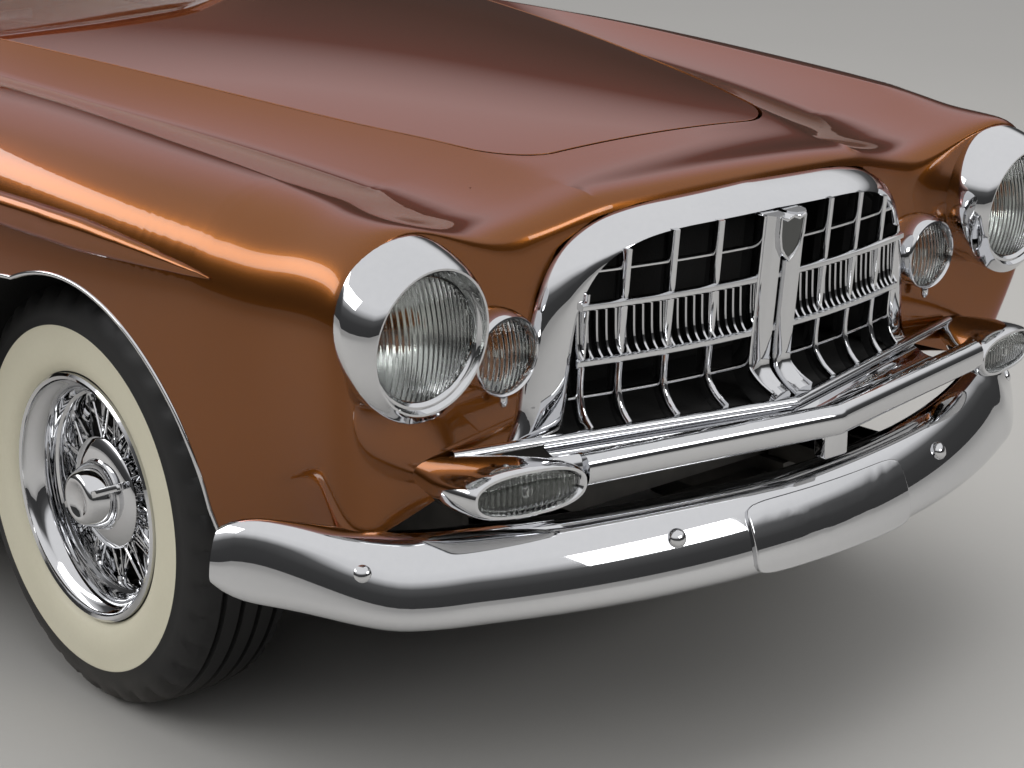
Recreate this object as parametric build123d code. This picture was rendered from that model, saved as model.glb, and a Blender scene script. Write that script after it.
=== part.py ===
"""A 1950s two-door hardtop with a long bonnet, an upright grille and wire wheels, in millimetres.

The car faces -Y, +X is its own left side, +Z is up and the floor is Z = 0.
The origin is on the floor, halfway along and across the car.
"""

import os
from math import sqrt

from build123d import *

# Chassis
WHEELBASE = 3190
FRONT_AXLE_Y = -1745
REAR_AXLE_Y = FRONT_AXLE_Y + WHEELBASE
WHEEL_X = 695
TYRE_RADIUS = 357
TYRE_WIDTH = 204
RIM_RADIUS = 208
RIM_WELL_RADIUS = 163
RIM_WIDTH = 186
HUB_RADIUS = 48
CAP_RADIUS = 58
CAP_LENGTH = 50
SPOKE_RADIUS = 2.6
SPOKE_PAIRS = 20
DRUM_RADIUS = 132
SPINDLE_RADIUS = 18
RUNNING_CLEARANCE = 0.05
KINGPIN_X = 560
KINGPIN_RADIUS = 12
RAIL_X = 337
RAIL_WIDTH = 75
RAIL_FRONT_Y = FRONT_AXLE_Y - 555
BRACKET_REAR_Y = RAIL_FRONT_Y + 50
RAIL_REAR_Y = REAR_AXLE_Y + 1110
ENGINE_LOW_Z = 330
PIPE_X = -235
PIPE_Z = 250
PIPE_RADIUS = 27
RAIL_LOW_Z = 215
RAIL_HIGH_Z = 315
RAIL_KICK = 190
SPRING_X = 415
SHEET = 20
SEAT = 0.3

# Body
WALL = 25
SHUT_GAP = 7
DOOR_DEPTH = 108
DOOR_FRONT_Y = FRONT_AXLE_Y + 1105
DOOR_REAR_Y = REAR_AXLE_Y - 895
HOOD_FRONT_Y = FRONT_AXLE_Y - 512
HOOD_REAR_Y = FRONT_AXLE_Y + 1142
HINGE_X = 390
COWL_REAR_Y = FRONT_AXLE_Y + 1278
DASH_FRONT_Y = COWL_REAR_Y - 55
FIREWALL_Y = DOOR_FRONT_Y - 50
NOSE_Y = FRONT_AXLE_Y - 675
TAIL_Y = REAR_AXLE_Y + 1150
LID_FRONT_Y = REAR_AXLE_Y - 185
LID_HALF_WIDTH = 520
LID_LOW_Z = 545
LID_FRONT_Z = 1014
LID_CROWN = 18
ARCH_RADIUS = 440
ARCH_DROP = 57
ARCH_FRONT_RADIUS = 308
REAR_ARCH_RADIUS = 425
REAR_ARCH_DROP = 60
FLOOR_Z = RAIL_HIGH_Z + SEAT
TRUNK_FLOOR_Z = 530
TRUNK_STEP_Y = REAR_AXLE_Y - 280
REAR_SEAT_Y = TRUNK_STEP_Y - 460
TUNNEL_HALF_WIDTH = 150
TUNNEL_Z = 535
GLASS = 6

# Roof and glass
BELT_X = 712
BELT_Z = 993
LEDGE_X = BELT_X - 18
COWL_HALF_WIDTH = LEDGE_X - SHUT_GAP - SEAT
RAIL_TOP_X = 590
RAIL_TOP_Z = 1380
ROOF_FRONT_Y = FRONT_AXLE_Y + 1665
ROOF_REAR_Y = REAR_AXLE_Y - 545
WINDSHIELD_BASE_Y = FRONT_AXLE_Y + 1205
REAR_WINDOW_BASE_Y = REAR_AXLE_Y - 215

# Front
GRILLE_CENTRE_Y = NOSE_Y - 83
GRILLE_BOW = 1355
GRILLE_LOW_Z = 570
GRILLE_TOP_Z = 853
GRILLE_HALF_WIDTH = 368
SURROUND_WIDTH = 56
SURROUND_TOP = 34
BAR = 14
BUMPER_LOW_Z = 330
BUMPER_HIGH_Z = 492
BUMPER_DEPTH = 34
BUMPER_CROWN = 30
LIP_Z = 555
LIP_RADIUS = 9
SHELF_Z = 522
HEADLAMP = (672, 762)
HEADLAMP_GLASS_RADIUS = 88
HEADLAMP_RIM_RADIUS = 108
DRIVING_LAMP = (488, 691)
PARKING_LAMP = (548, 530)
PARKING_LAMP_Y = NOSE_Y - 160
DRIVING_LAMP_RADIUS = 53
DRIVING_RIM_RADIUS = 60

# Body side, from nose to tail: crown is the crease on top of the fender, side the widest point, low the bottom edge.
# Columns: axle, distance behind it, crown x, crown z, side x, side z, low x, low z
SIDE = [
    (FRONT_AXLE_Y, -700, 679, 903, 772, 770, 710, 466),
    (FRONT_AXLE_Y, -515, 678, 926, 822, 806, 765, 428),
    (FRONT_AXLE_Y, -195, 681, 951, 860, 838, 845, 330),
    (FRONT_AXLE_Y, 295, 696, 982, 884, 850, 880, 262),
    (FRONT_AXLE_Y, 845, 724, 992, 905, 848, 899, 250),
    (REAR_AXLE_Y, -895, 736, 992, 915, 842, 905, 248),
    (REAR_AXLE_Y, -300, 728, 989, 912, 832, 902, 250),
    (REAR_AXLE_Y, 250, 704, 968, 890, 806, 880, 268),
    (REAR_AXLE_Y, 755, 672, 918, 838, 765, 815, 320),
    (REAR_AXLE_Y, 1170, 640, 838, 748, 690, 712, 390),
]

# Top of the front body. deck is the middle of the bonnet, edge its shut line, valley the hollow beside the fender.
# Columns: axle, distance behind it, deck z, edge x, edge z, valley x, valley z
FRONT_TOP = [
    (FRONT_AXLE_Y, -700, 888, 290, 876, 470, 850),
    (FRONT_AXLE_Y, -515, 937, 303, 926, 488, 886),
    (FRONT_AXLE_Y, -195, 985, 397, 960, 530, 922),
    (FRONT_AXLE_Y, 295, 1030, 502, 1003, 585, 958),
    (FRONT_AXLE_Y, 845, 1062, 590, 1036, 655, 1003),
    (FRONT_AXLE_Y, 1345, 1078, 606, 1046, 675, 1012),
]

# Top of the rear body, with the same columns; edge is the trunk lid's shut line.
REAR_TOP = [
    (REAR_AXLE_Y, -260, 1016, LID_HALF_WIDTH + SHUT_GAP, 1005, 650, 985),
    (REAR_AXLE_Y, 250, 985, LID_HALF_WIDTH + SHUT_GAP, 968, 630, 940),
    (REAR_AXLE_Y, 755, 912, LID_HALF_WIDTH + SHUT_GAP, 888, 600, 872),
    (REAR_AXLE_Y, 1170, 800, LID_HALF_WIDTH + SHUT_GAP, 782, 570, 775),
]


def row_at(table, y):
    """The table's columns at y, on a smooth curve through its rows."""
    rows = [(row[0] + row[1], *row[2:]) for row in table]
    y = min(max(y, rows[0][0]), rows[-1][0])
    i = max(k for k in range(len(rows) - 1) if rows[k][0] <= y)
    before, low, high, after = rows[max(i - 1, 0)], rows[i], rows[i + 1], rows[min(i + 2, len(rows) - 1)]
    span = high[0] - low[0]
    t = (y - low[0]) / span
    values = []
    for k in range(1, len(low)):
        slope_low = (high[k] - before[k]) / (high[0] - before[0]) * span
        slope_high = (after[k] - low[k]) / (after[0] - low[0]) * span
        values.append(
            (2 * t**3 - 3 * t**2 + 1) * low[k]
            + (t**3 - 2 * t**2 + t) * slope_low
            + (3 * t**2 - 2 * t**3) * high[k]
            + (t**3 - t**2) * slope_high
        )
    return values


def bowed(start, end, bow):
    """An arc between two points whose middle stands out by bow to the left of the way from start to end."""
    start, end = Vector(*start), Vector(*end)
    along = end - start
    left = {True: Vector(-along.Z, 0, along.X), False: Vector(0, -along.Z, along.Y)}[abs(along.Y) < 1e-6]
    return ThreePointArc(start, (start + end) / 2 + left.normalized() * bow, end).edge()


def ring(points, bows):
    """A closed wire through the points, each side bowed by its own amount, or straight where that is 0."""
    sides = zip(points, points[1:] + points[:1], bows)
    return Wire([bowed(a, b, bow) if bow else Edge.make_line(a, b) for a, b, bow in sides])


def loft_over(sections):
    return Solid.make_loft(sections)


def spaced(start, end, count):
    return [start + (end - start) * i / (count - 1) for i in range(count)]


def box(x, y, z):
    """A block between pairs of limits."""
    size = [b - a for a, b in (x, y, z)]
    centre = [(a + b) / 2 for a, b in (x, y, z)]
    return Pos(*centre) * Box(*size)


def rod(start, end, radius):
    """A round bar between two points."""
    start, end = Vector(*start), Vector(*end)
    along = end - start
    return extrude(Plane(start, z_dir=along.normalized()) * Circle(radius), along.length)


def plate(points, thickness, plane):
    """A flat plate with the outline in the plane, thickened along its normal."""
    return extrude(plane * make_face(Polyline(*points, close=True)), thickness)


def mirrored(shape):
    """The same piece on the car's right side."""
    return mirror(shape, about=Plane.YZ)


def both(shape):
    return Compound([*shape.solids(), *mirrored(shape).solids()])


SIDE_BOW = 46
LOW_BOW = 16
TOP_BOW = 10
VALLEY_BOW = -4


def skin_section(y, top, top_bows):
    """The skin from the top points over crown and side to the low edge, then the same line one wall further in."""
    crown_x, crown_z, side_x, side_z, low_x, low_z = row_at(SIDE, y)
    outer = [*top, (crown_x, y, crown_z), (side_x, y, side_z), (low_x, y, low_z)]
    inner = [(low_x - WALL, y, low_z), (side_x - WALL, y, side_z - 10), (crown_x, y, crown_z - WALL)]
    inner += [(x, y, z - WALL) for x, y, z in reversed(top)]
    bows = [*top_bows, SIDE_BOW, LOW_BOW]
    return ring(outer + inner, bows + [0] + [-bow for bow in reversed(bows)] + [0])


def shoulder_points(table, y):
    """The bonnet's or lid's shut line and the valley beside the fender."""
    deck_z, edge_x, edge_z, valley_x, valley_z = row_at(table, y)
    return [(edge_x, y, edge_z), (valley_x, y, valley_z)]


def full_section(table, y):
    """The skin from the shut line of bonnet or lid to the low edge."""
    return skin_section(y, shoulder_points(table, y), [VALLEY_BOW, TOP_BOW])


def shoulder_section(table, y):
    """The skin from the bonnet's shut line over the valley to the crown."""
    crown_x, crown_z = row_at(SIDE, y)[:2]
    outer = [*shoulder_points(table, y), (crown_x, y, crown_z)]
    inner = [(x, y, z - WALL) for x, y, z in reversed(outer)]
    return ring(outer + inner, [VALLEY_BOW, TOP_BOW, 0, -TOP_BOW, -VALLEY_BOW, 0])


def deck_section(table, y, gap):
    """The crowned top between the two shut lines."""
    deck_z, edge_x, edge_z = row_at(table, y)[:3]
    x = edge_x - gap
    rise = deck_z - edge_z
    outer = [(-x, y, edge_z), (x, y, edge_z)]
    inner = [(x, y, edge_z - WALL), (-x, y, edge_z - WALL)]
    return ring(outer + inner, [rise, 0, -rise, 0])


def door_section(y):
    """A door as thick as the real one, with a ledge at the belt for its glass."""
    crown_x, crown_z, side_x, side_z, low_x, low_z = row_at(SIDE, y)
    inside_x = side_x - DOOR_DEPTH
    outer = [(crown_x, y, crown_z), (side_x, y, side_z), (low_x, y, low_z)]
    inner = [(inside_x, y, low_z), (inside_x, y, BELT_Z - 70), (LEDGE_X, y, BELT_Z - 30), (LEDGE_X, y, BELT_Z)]
    return ring(outer + inner, [SIDE_BOW, LOW_BOW, 0, 0, 0, 0, 0])


def arch(axle_y, radius, drop, x):
    return Pos(x, axle_y, TYRE_RADIUS - drop) * Rot(0, 90, 0) * Cylinder(radius, 300)


# Body panels
def front_fender():
    end = DOOR_FRONT_Y - SHUT_GAP
    side = loft_over([full_section(FRONT_TOP, y) for y in spaced(NOSE_Y + WALL, end, 6)])
    shoulder = loft_over([shoulder_section(FRONT_TOP, y) for y in (end, HOOD_REAR_Y + 12)])
    beside_door = box((LEDGE_X - SHUT_GAP, 1000), (end - 1, HOOD_REAR_Y + 50), (900, 1100))
    opening = arch(FRONT_AXLE_Y + 10, ARCH_RADIUS, ARCH_DROP, 860)
    opening += arch(FRONT_AXLE_Y - 100, ARCH_FRONT_RADIUS, -99, 860)
    return side + (shoulder - beside_door) - opening


def rear_quarter():
    middle = REAR_WINDOW_BASE_Y - 30
    ahead = [skin_section(y, [(LEDGE_X, y, BELT_Z)], [0]) for y in spaced(DOOR_REAR_Y + SHUT_GAP, middle, 3)]
    behind = [full_section(REAR_TOP, y) for y in spaced(middle, TAIL_Y - WALL, 5)]
    side = loft_over(ahead) + loft_over(behind)
    return side - arch(REAR_AXLE_Y, REAR_ARCH_RADIUS, REAR_ARCH_DROP, 860)


def end_plate(top, y, front):
    """The upright panel that closes the nose or the tail."""
    deck_z, edge_x, edge_z, valley_x, valley_z = row_at(top, y)
    crown_x, crown_z, side_x, side_z, low_x, low_z = row_at(SIDE, y)
    right = [(0, deck_z), (edge_x, edge_z), (valley_x, valley_z), (crown_x, crown_z), (side_x, side_z), (low_x, low_z)]
    points = right + [(-x, z) for x, z in reversed(right[1:])]
    plane = Plane((0, y, 0), x_dir=(1, 0, 0), z_dir=(0, -1, 0))
    return plate(points, WALL if front else -WALL, plane)


def grille_outline(grow, rise, y):
    """The grille opening's upright outline, wider by grow and higher by rise."""
    w = GRILLE_HALF_WIDTH + grow
    top = GRILLE_TOP_Z + rise
    low = GRILLE_LOW_Z
    corner = 0.66 * w
    right = [(w * 1.0, y, low), (w, y, top - 130), (corner, y, top - 12)]
    left = [(-x, y, z) for x, y, z in reversed(right)]
    return ring(right + left, [0, -24, -8, -24, 0, 0])


def bow_cylinder(offset):
    """Everything behind the upright surface that the grille's face lies on, moved forward by offset."""
    return Pos(0, GRILLE_CENTRE_Y + GRILLE_BOW, 700) * Cylinder(GRILLE_BOW + offset, 900)


def nose_panel():
    front = end_plate(FRONT_TOP, NOSE_Y + WALL, True)
    opening = extrude(Face(grille_outline(12, 8, NOSE_Y - 50)), 120, dir=(0, 1, 0))
    stations = spaced(NOSE_Y + WALL, HOOD_FRONT_Y - SHUT_GAP, 3)
    top = loft_over([deck_section(FRONT_TOP, y, SEAT) for y in stations])
    return front - opening + top


def hood():
    stations = spaced(HOOD_FRONT_Y, HOOD_REAR_Y - SHUT_GAP, 5)
    return loft_over([deck_section(FRONT_TOP, y, SHUT_GAP) for y in stations])


def cowl_panel():
    """The panel between bonnet and windshield, out to the doors, with the screen's seat behind it."""
    sections = []
    for y in spaced(HOOD_REAR_Y + SHUT_GAP + 6, COWL_REAR_Y, 3):
        deck_z = row_at(FRONT_TOP, y)[0]
        x = COWL_HALF_WIDTH
        outer = [(-x, y, BELT_Z), (x, y, BELT_Z)]
        inner = [(x, y, BELT_Z - WALL), (-x, y, BELT_Z - WALL)]
        sections.append(ring(outer + inner, [deck_z - BELT_Z, 0, BELT_Z - deck_z, 0]))
    return loft_over(sections)


def door():
    stations = spaced(DOOR_FRONT_Y, DOOR_REAR_Y, 4)
    return loft_over([door_section(y) for y in stations])


def lid_section(x):
    """The trunk lid's profile from its hinge edge back and down to its handle edge."""
    fall = LID_CROWN * (x / LID_HALF_WIDTH) ** 2
    y0, y1, y2, y3 = LID_FRONT_Y, REAR_AXLE_Y + 555, REAR_AXLE_Y + 1105, REAR_AXLE_Y + 1140
    z0, z1, z2, z3 = LID_FRONT_Z - fall / 2, 948 - fall, 745 - fall / 2, LID_LOW_Z
    outer = [(x, y0, z0), (x, y1, z1), (x, y2, z2), (x, y3, z3)]
    inner = [(x, y3 - WALL, z3), (x, y2 - WALL, z2 - 8), (x, y1 - 6, z1 - WALL), (x, y0, z0 - WALL)]
    return ring(outer + inner, [10, 46, 4, 0, -4, -46, -10, 0])


def lid_fall(x):
    """How far the trunk lid's hinge edge lies below its middle at x."""
    return LID_CROWN / 2 * (x / LID_HALF_WIDTH) ** 2


def trunk_lid():
    return loft_over([lid_section(x) for x in (-LID_HALF_WIDTH, 0, LID_HALF_WIDTH)])


def rear_deck():
    """The tail panel below and beside the lid, and the strip between the lid and the rear window."""
    plate_y = TAIL_Y - WALL
    tail = end_plate(REAR_TOP, plate_y, False)
    clear = LID_HALF_WIDTH + SHUT_GAP
    tail -= box((-clear, clear), (plate_y - 60, plate_y + 60), (LID_LOW_Z - SHUT_GAP - 3, 1100))
    notch = box((RAIL_X - 30, RAIL_X + 30), (plate_y - 60, plate_y + 60), (300, RAIL_LOW_Z + RAIL_KICK + 4))
    tail -= notch + mirrored(notch)
    strip_y = (REAR_WINDOW_BASE_Y - 30, LID_FRONT_Y - SHUT_GAP)
    strip = loft_over([deck_section(REAR_TOP, y, SEAT) for y in spaced(*strip_y, 2)])
    seat_z = LID_FRONT_Z - lid_fall(HINGE_X + 40) - WALL - 2 * SEAT
    hinge = box((HINGE_X, HINGE_X + 40), (strip_y[0] + 15, LID_FRONT_Y + 8), (seat_z - 40, seat_z))
    hinge += box((HINGE_X, HINGE_X + 40), (strip_y[0] + 15, strip_y[1] - 3), (seat_z - 40, seat_z + 8))
    return tail, strip.fuse(hinge, mirrored(hinge))


def roof():
    """The roof skin, from the windshield's header to the rear window's, with its pillars."""
    sections = []
    # Columns: x, how far the skin lies below the middle
    for x, fall in ((-RAIL_TOP_X, 96), (-390, 24), (0, 0), (390, 24), (RAIL_TOP_X, 96)):
        front = (x, ROOF_FRONT_Y - 20 + fall * 0.3, 1452 - fall * 0.75)
        rear = (x, ROOF_REAR_Y + 60 - fall * 0.5, 1430 - fall * 0.75)
        inner = [(x, rear[1], rear[2] - WALL), (x, front[1], front[2] - WALL)]
        sections.append(ring([front, rear] + inner, [62 - fall * 0.25, 0, fall * 0.25 - 62, 0]))
    front_pillars, rear_pillars = pillars()
    return loft_over(sections).fuse(*front_pillars.solids(), *rear_pillars.solids())


def pillar(low, high):
    """A post between two level rectangles, each given as x limits, y limits and z."""
    ends = []
    for x, y, z in (low, high):
        corners = [(x[0], y[0], z), (x[1], y[0], z), (x[1], y[1], z), (x[0], y[1], z)]
        ends.append(Wire.make_polygon(corners, close=True))
    return Solid.make_loft(ends, ruled=True)


def pillars():
    outside = RAIL_TOP_X + 4
    front = pillar(
        ((BELT_X - 62, BELT_X - 30), (COWL_REAR_Y + SEAT, COWL_REAR_Y + 42), BELT_Z - 20),
        ((outside - 48, outside - 12), (ROOF_FRONT_Y + 8, ROOF_FRONT_Y + 50), RAIL_TOP_Z - 10),
    )
    rear = pillar(
        ((BELT_X - 30, BELT_X + 14), (REAR_WINDOW_BASE_Y - 330, REAR_WINDOW_BASE_Y - 33), BELT_Z + SEAT),
        ((outside - 50, outside), (ROOF_REAR_Y - 130, ROOF_REAR_Y + 15), RAIL_TOP_Z - 10),
    )
    return both(front), both(rear)


def arc_rise(x, half, rise):
    """How far a shallow arc of that half width and rise stands above its ends at x."""
    radius = (half**2 + rise**2) / (2 * rise)
    return sqrt(radius**2 - x**2) - (radius - rise)


def cowl_z(x, y):
    return BELT_Z + arc_rise(x, COWL_HALF_WIDTH, row_at(FRONT_TOP, y)[0] - BELT_Z)


def curved_glass(base_end, base_middle, top_end, top_middle, thickness):
    """A bent pane between two arcs, each given by its left end and its middle."""
    wires = []
    for end, middle in ((base_end, base_middle), (top_end, top_middle)):
        inward = Vector(0, end[1] - middle[0], end[2] - middle[1]).normalized() * thickness
        corners = []
        arcs = []
        for shift in (Vector(0, 0, 0), inward):
            left = Vector(*end) + shift
            right = Vector(-end[0], end[1], end[2]) + shift
            arcs.append(ThreePointArc(right, Vector(0, *middle) + shift, left).edge())
            corners.append((left, right))
        close = Edge.make_line(corners[0][0], corners[1][0])
        back = Edge.make_line(corners[1][1], corners[0][1])
        wires.append(Wire([arcs[0], close, arcs[1], back]))
    return Solid.make_loft(wires, ruled=True)


def windshield():
    end_y, y = WINDSHIELD_BASE_Y + 68, WINDSHIELD_BASE_Y
    base_end = (638, end_y, cowl_z(638, end_y) + SEAT)
    base_middle = (y, cowl_z(0, y) + SEAT)
    return curved_glass(base_end, base_middle, (532, ROOF_FRONT_Y + 20, 1366), (ROOF_FRONT_Y - 10, 1425), GLASS)


def rear_window():
    base_end = (612, REAR_WINDOW_BASE_Y - 60, BELT_Z + 12)
    base_middle = (REAR_WINDOW_BASE_Y, row_at(REAR_TOP, REAR_WINDOW_BASE_Y)[0] + 1.65)
    return curved_glass(base_end, base_middle, (520, ROOF_REAR_Y + 14, 1350), (ROOF_REAR_Y + 48, 1402), GLASS)


def side_pane(outline):
    """A flat pane in the leaning plane of the side windows, from (y, share of the height) points."""
    height = RAIL_TOP_Z - BELT_Z
    lean = BELT_X - RAIL_TOP_X
    wires = []
    for offset in (0, -GLASS):
        corners = [(BELT_X + offset - lean * up, y, BELT_Z + SEAT + height * up) for y, up in outline]
        wires.append(Wire.make_polygon(corners, close=True))
    return Solid.make_loft(wires, ruled=True)


def front_end_trim():
    """The V-shaped lip under the grille and the polished shelf that runs forward from it."""
    lip = rod((574, NOSE_Y - 12, LIP_Z), (0, NOSE_Y - 160, LIP_Z), LIP_RADIUS)
    back = NOSE_Y - SEAT
    shelf = plate(
        [(-415, back), (-415, NOSE_Y - 138), (0, NOSE_Y - 218), (415, NOSE_Y - 138), (415, back)],
        LIP_Z - LIP_RADIUS + 3 - SHELF_Z,
        Plane((0, 0, SHELF_Z)),
    )
    return lip + mirrored(lip) + Pos(0, NOSE_Y - 160, LIP_Z) * Sphere(LIP_RADIUS) + shelf


def export(name, shape):
    export_step(shape, f"parts/{name}.step")


def surround():
    """The wide chrome frame of the grille, standing out from the nose and bowed like the grille."""
    outer = grille_outline(SURROUND_WIDTH, SURROUND_TOP, NOSE_Y)
    front = grille_outline(18, 14, NOSE_Y - 140)
    hole = extrude(Face(grille_outline(0, 0, NOSE_Y - 200)), 260, dir=(0, 1, 0))
    frame = Solid.make_loft([outer, front], ruled=True) - hole
    return frame & bow_cylinder(20)


def bent_bar(z, size, inset=0):
    """A level bar across the grille, following its bow."""
    band = bow_cylinder(-inset) - bow_cylinder(-inset - size)
    width = GRILLE_HALF_WIDTH + 6
    return band & box((-width, width), (NOSE_Y - 180, NOSE_Y + 120), (z - size / 2, z + size / 2))


def grille():
    """Thick uprights, two strong level bars with fine blades between them, and thin level bars beyond."""
    parts = [bent_bar(749, BAR), bent_bar(662, BAR), bent_bar(802, 6, 8), bent_bar(616, 6, 8)]
    for x in (0.0, 125, 210, 292):
        y = GRILLE_CENTRE_Y + x * x / (2 * GRILLE_BOW)
        half = 42 if x == 0 else 8
        upright = box((x - half, x + half), (y - 14, y + 12), (GRILLE_LOW_Z, GRILLE_TOP_Z + 5))
        parts.append(upright)
        if x:
            parts.append(mirrored(upright))
    for i in range(20):
        x = 58 + i * 15.8
        y = GRILLE_CENTRE_Y + x * x / (2 * GRILLE_BOW)
        blade = box((x - 1.5, x + 1.5), (y - 2, y + 20), (655, 750))
        parts += [blade, mirrored(blade)]
    whole = parts[0].fuse(*parts[1:])
    opening = extrude(Face(grille_outline(-SEAT, -SEAT, NOSE_Y - 200)), 260, dir=(0, 1, 0))
    foot = plate(
        [(-360, NOSE_Y - 30), (-360, NOSE_Y - 66), (0, NOSE_Y - 158), (360, NOSE_Y - 66), (360, NOSE_Y - 30)],
        6,
        Plane((0, 0, GRILLE_LOW_Z - 5)),
    )
    return (whole & opening) + foot


def bumper(front):
    """A deep bar with a rounded face, wrapped round the corners."""
    if front:
        centre_y, mid_x, mid_y, end_y = NOSE_Y - 270, 590, NOSE_Y - 140, NOSE_Y + 165
    else:
        centre_y, mid_x, mid_y, end_y = TAIL_Y + 95, 700, TAIL_Y + 45, TAIL_Y - 195
    mid = ThreePointArc((-mid_x, mid_y), (0, centre_y), (mid_x, mid_y)).edge()
    left_end = Edge.make_tangent_arc(mid.position_at(0), mid.tangent_at(0) * -1, (-900, end_y, 0))
    right_end = Edge.make_tangent_arc(mid.position_at(1), mid.tangent_at(1), (900, end_y, 0))
    path = Wire([left_end, mid, right_end])
    path = Pos(0, 0, (BUMPER_LOW_Z + BUMPER_HIGH_Z) / 2) * path
    half = (BUMPER_HIGH_Z - BUMPER_LOW_Z) / 2
    start = path.position_at(0)
    along = path.tangent_at(0)
    outward = Vector(0, 0, 1).cross(along) * (1 if front else -1)
    plane = Plane(start, x_dir=outward * -1, z_dir=along)
    if plane.y_dir.Z < 0:
        half = -half
    depth = BUMPER_DEPTH
    face = make_face(
        Polyline((BUMPER_CROWN, -half), (depth, -half), (depth, half), (BUMPER_CROWN, half))
        + ThreePointArc((BUMPER_CROWN, half), (0, 0), (BUMPER_CROWN, -half))
    )
    return sweep(plane * face, path=path)


def upper_bar():
    """The V-shaped bar above the front bumper, with a pod at each end for the parking lamp."""
    z = 545
    lamp_x, lamp_z = PARKING_LAMP
    middle_y = NOSE_Y - 242
    half = rod((0, middle_y, z), (462, NOSE_Y - 156, z), 22)
    back = rod((455, PARKING_LAMP_Y + 70, lamp_z - 4), (600, NOSE_Y - 32, lamp_z - 4), 24)
    housing = Pos(lamp_x, PARKING_LAMP_Y + 44, lamp_z) * Rot(90, 0, 0) * extrude(Ellipse(95, 36), 44, both=True)
    foot = box((500, 600), (NOSE_Y - 60, NOSE_Y - SEAT), (lamp_z - 12, lamp_z + 8))
    socket = Pos(lamp_x, PARKING_LAMP_Y, lamp_z) * Rot(90, 0, 0) * extrude(Ellipse(82.4, 26.4), 12, both=True)
    left = half + housing + back + foot - socket
    blade = box((-26, 26), (middle_y + 4, middle_y + 22), (BUMPER_HIGH_Z + SEAT, z))
    return left + mirrored(left) + Pos(0, middle_y, z) * Sphere(22) + blade


def lamp_rim(x, z, back_radius, radius, depth, bore, lift):
    """A chrome lamp surround that widens and lifts towards the body."""
    back = Plane((x, NOSE_Y, z + lift), z_dir=(0, -1, 0)) * Circle(back_radius)
    front = Plane((x, NOSE_Y - depth, z), z_dir=(0, -1, 0)) * Circle(radius)
    body = loft([back, front])
    hole = Pos(x, NOSE_Y - depth, z) * Rot(90, 0, 0) * Cylinder(bore, depth * 1.4)
    return body - hole


def dome(x, y, z, radius, depth, base, forward=True):
    """A domed disc facing forward or back, base thick at its edge, with its edge's front at y."""
    sign = -1 if forward else 1
    crown = ThreePointArc((0, sign * depth), (radius * 0.72, sign * depth * 0.52), (radius, 0)).edge()
    sides = Polyline((radius, 0), (radius, -sign * base), (0, -sign * base), (0, sign * depth))
    return Pos(x, y, z) * revolve(make_face(crown + sides), Axis.Y)


def lamp_lens(x, z, radius, y, depth):
    return dome(x, y, z, radius, depth, 10)


def parking_lens():
    x, z = PARKING_LAMP
    return Pos(x, PARKING_LAMP_Y + 7.7, z) * Rot(90, 0, 0) * extrude(Ellipse(82, 26), 4, both=True)


# Running gear
def wire_wheel():
    """Rim, crossed spokes, hub, brake drum and centre cap, about the axis x with the outside towards +X."""
    half = RIM_WIDTH / 2
    profile = [
        (-half, RIM_RADIUS - 10), (-half, RIM_RADIUS), (-half + 12, RIM_RADIUS), (-half + 18, RIM_RADIUS - 18),
        (-22, RIM_RADIUS - 20), (-14, RIM_WELL_RADIUS + 12), (14, RIM_WELL_RADIUS + 12), (22, RIM_RADIUS - 20),
        (half - 18, RIM_RADIUS - 18), (half - 12, RIM_RADIUS), (half, RIM_RADIUS), (half, RIM_RADIUS - 10),
        (half - 26, RIM_WELL_RADIUS + 14), (half - 60, RIM_WELL_RADIUS), (-half + 20, RIM_WELL_RADIUS),
    ]
    rim = revolve(Plane.XY * make_face(Polyline(*profile, close=True)), Axis.X)
    hub = [(-84, 0), (-84, DRUM_RADIUS), (-30, DRUM_RADIUS), (-24, HUB_RADIUS), (46, HUB_RADIUS), (46, 94), (52, 90)]
    hub += [(58, CAP_RADIUS), (58 + CAP_LENGTH * 0.6, CAP_RADIUS - 12), (58 + CAP_LENGTH, 16), (58 + CAP_LENGTH, 0)]
    hub = revolve(Plane.XY * make_face(Polyline(*hub, close=True)), Axis.X)
    ear = box((70, 88), (-12, 12), (-CAP_RADIUS - 14, CAP_RADIUS + 14))
    spokes = []
    lean = 20
    for i in range(SPOKE_PAIRS):
        angle = 360 * i / SPOKE_PAIRS
        for sign, hub_x, rim_x in ((1, 42, 20), (-1, -14, 8)):
            inner = Vector(hub_x, HUB_RADIUS - 3, 0).rotate(Axis.X, angle + (9 if sign > 0 else 0))
            outer = Vector(rim_x, RIM_WELL_RADIUS + 4, 0).rotate(Axis.X, angle + sign * lean)
            spokes.append(rod(tuple(inner), tuple(outer), SPOKE_RADIUS))
    wheel = (rim + hub + ear).fuse(*spokes)
    bore = Pos(-84 + 70, 0, 0) * Rot(0, 90, 0) * Cylinder(SPINDLE_RADIUS + RUNNING_CLEARANCE, 141)
    return wheel - bore


def tyre():
    half = TYRE_WIDTH / 2
    bead = RIM_RADIUS - 17.5
    width = RIM_WIDTH / 2 - 18.5
    outline = [(-width, bead), (-width, RIM_RADIUS + 1), (-half + 8, RIM_RADIUS + 24), (-half, RIM_RADIUS + 62)]
    outline += [(-half, TYRE_RADIUS - 60), (-half + 30, TYRE_RADIUS - 8), (0, TYRE_RADIUS)]
    outline += [(-x, r) for x, r in reversed(outline[:-1])]
    inner = [(width - 12, bead), (half - 16, bead + 56), (half - 16, TYRE_RADIUS - 62)]
    outline += inner + [(-x, r) for x, r in reversed(inner)]
    return revolve(Plane.XY * make_face(Polyline(*outline, close=True)), Axis.X)


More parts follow.
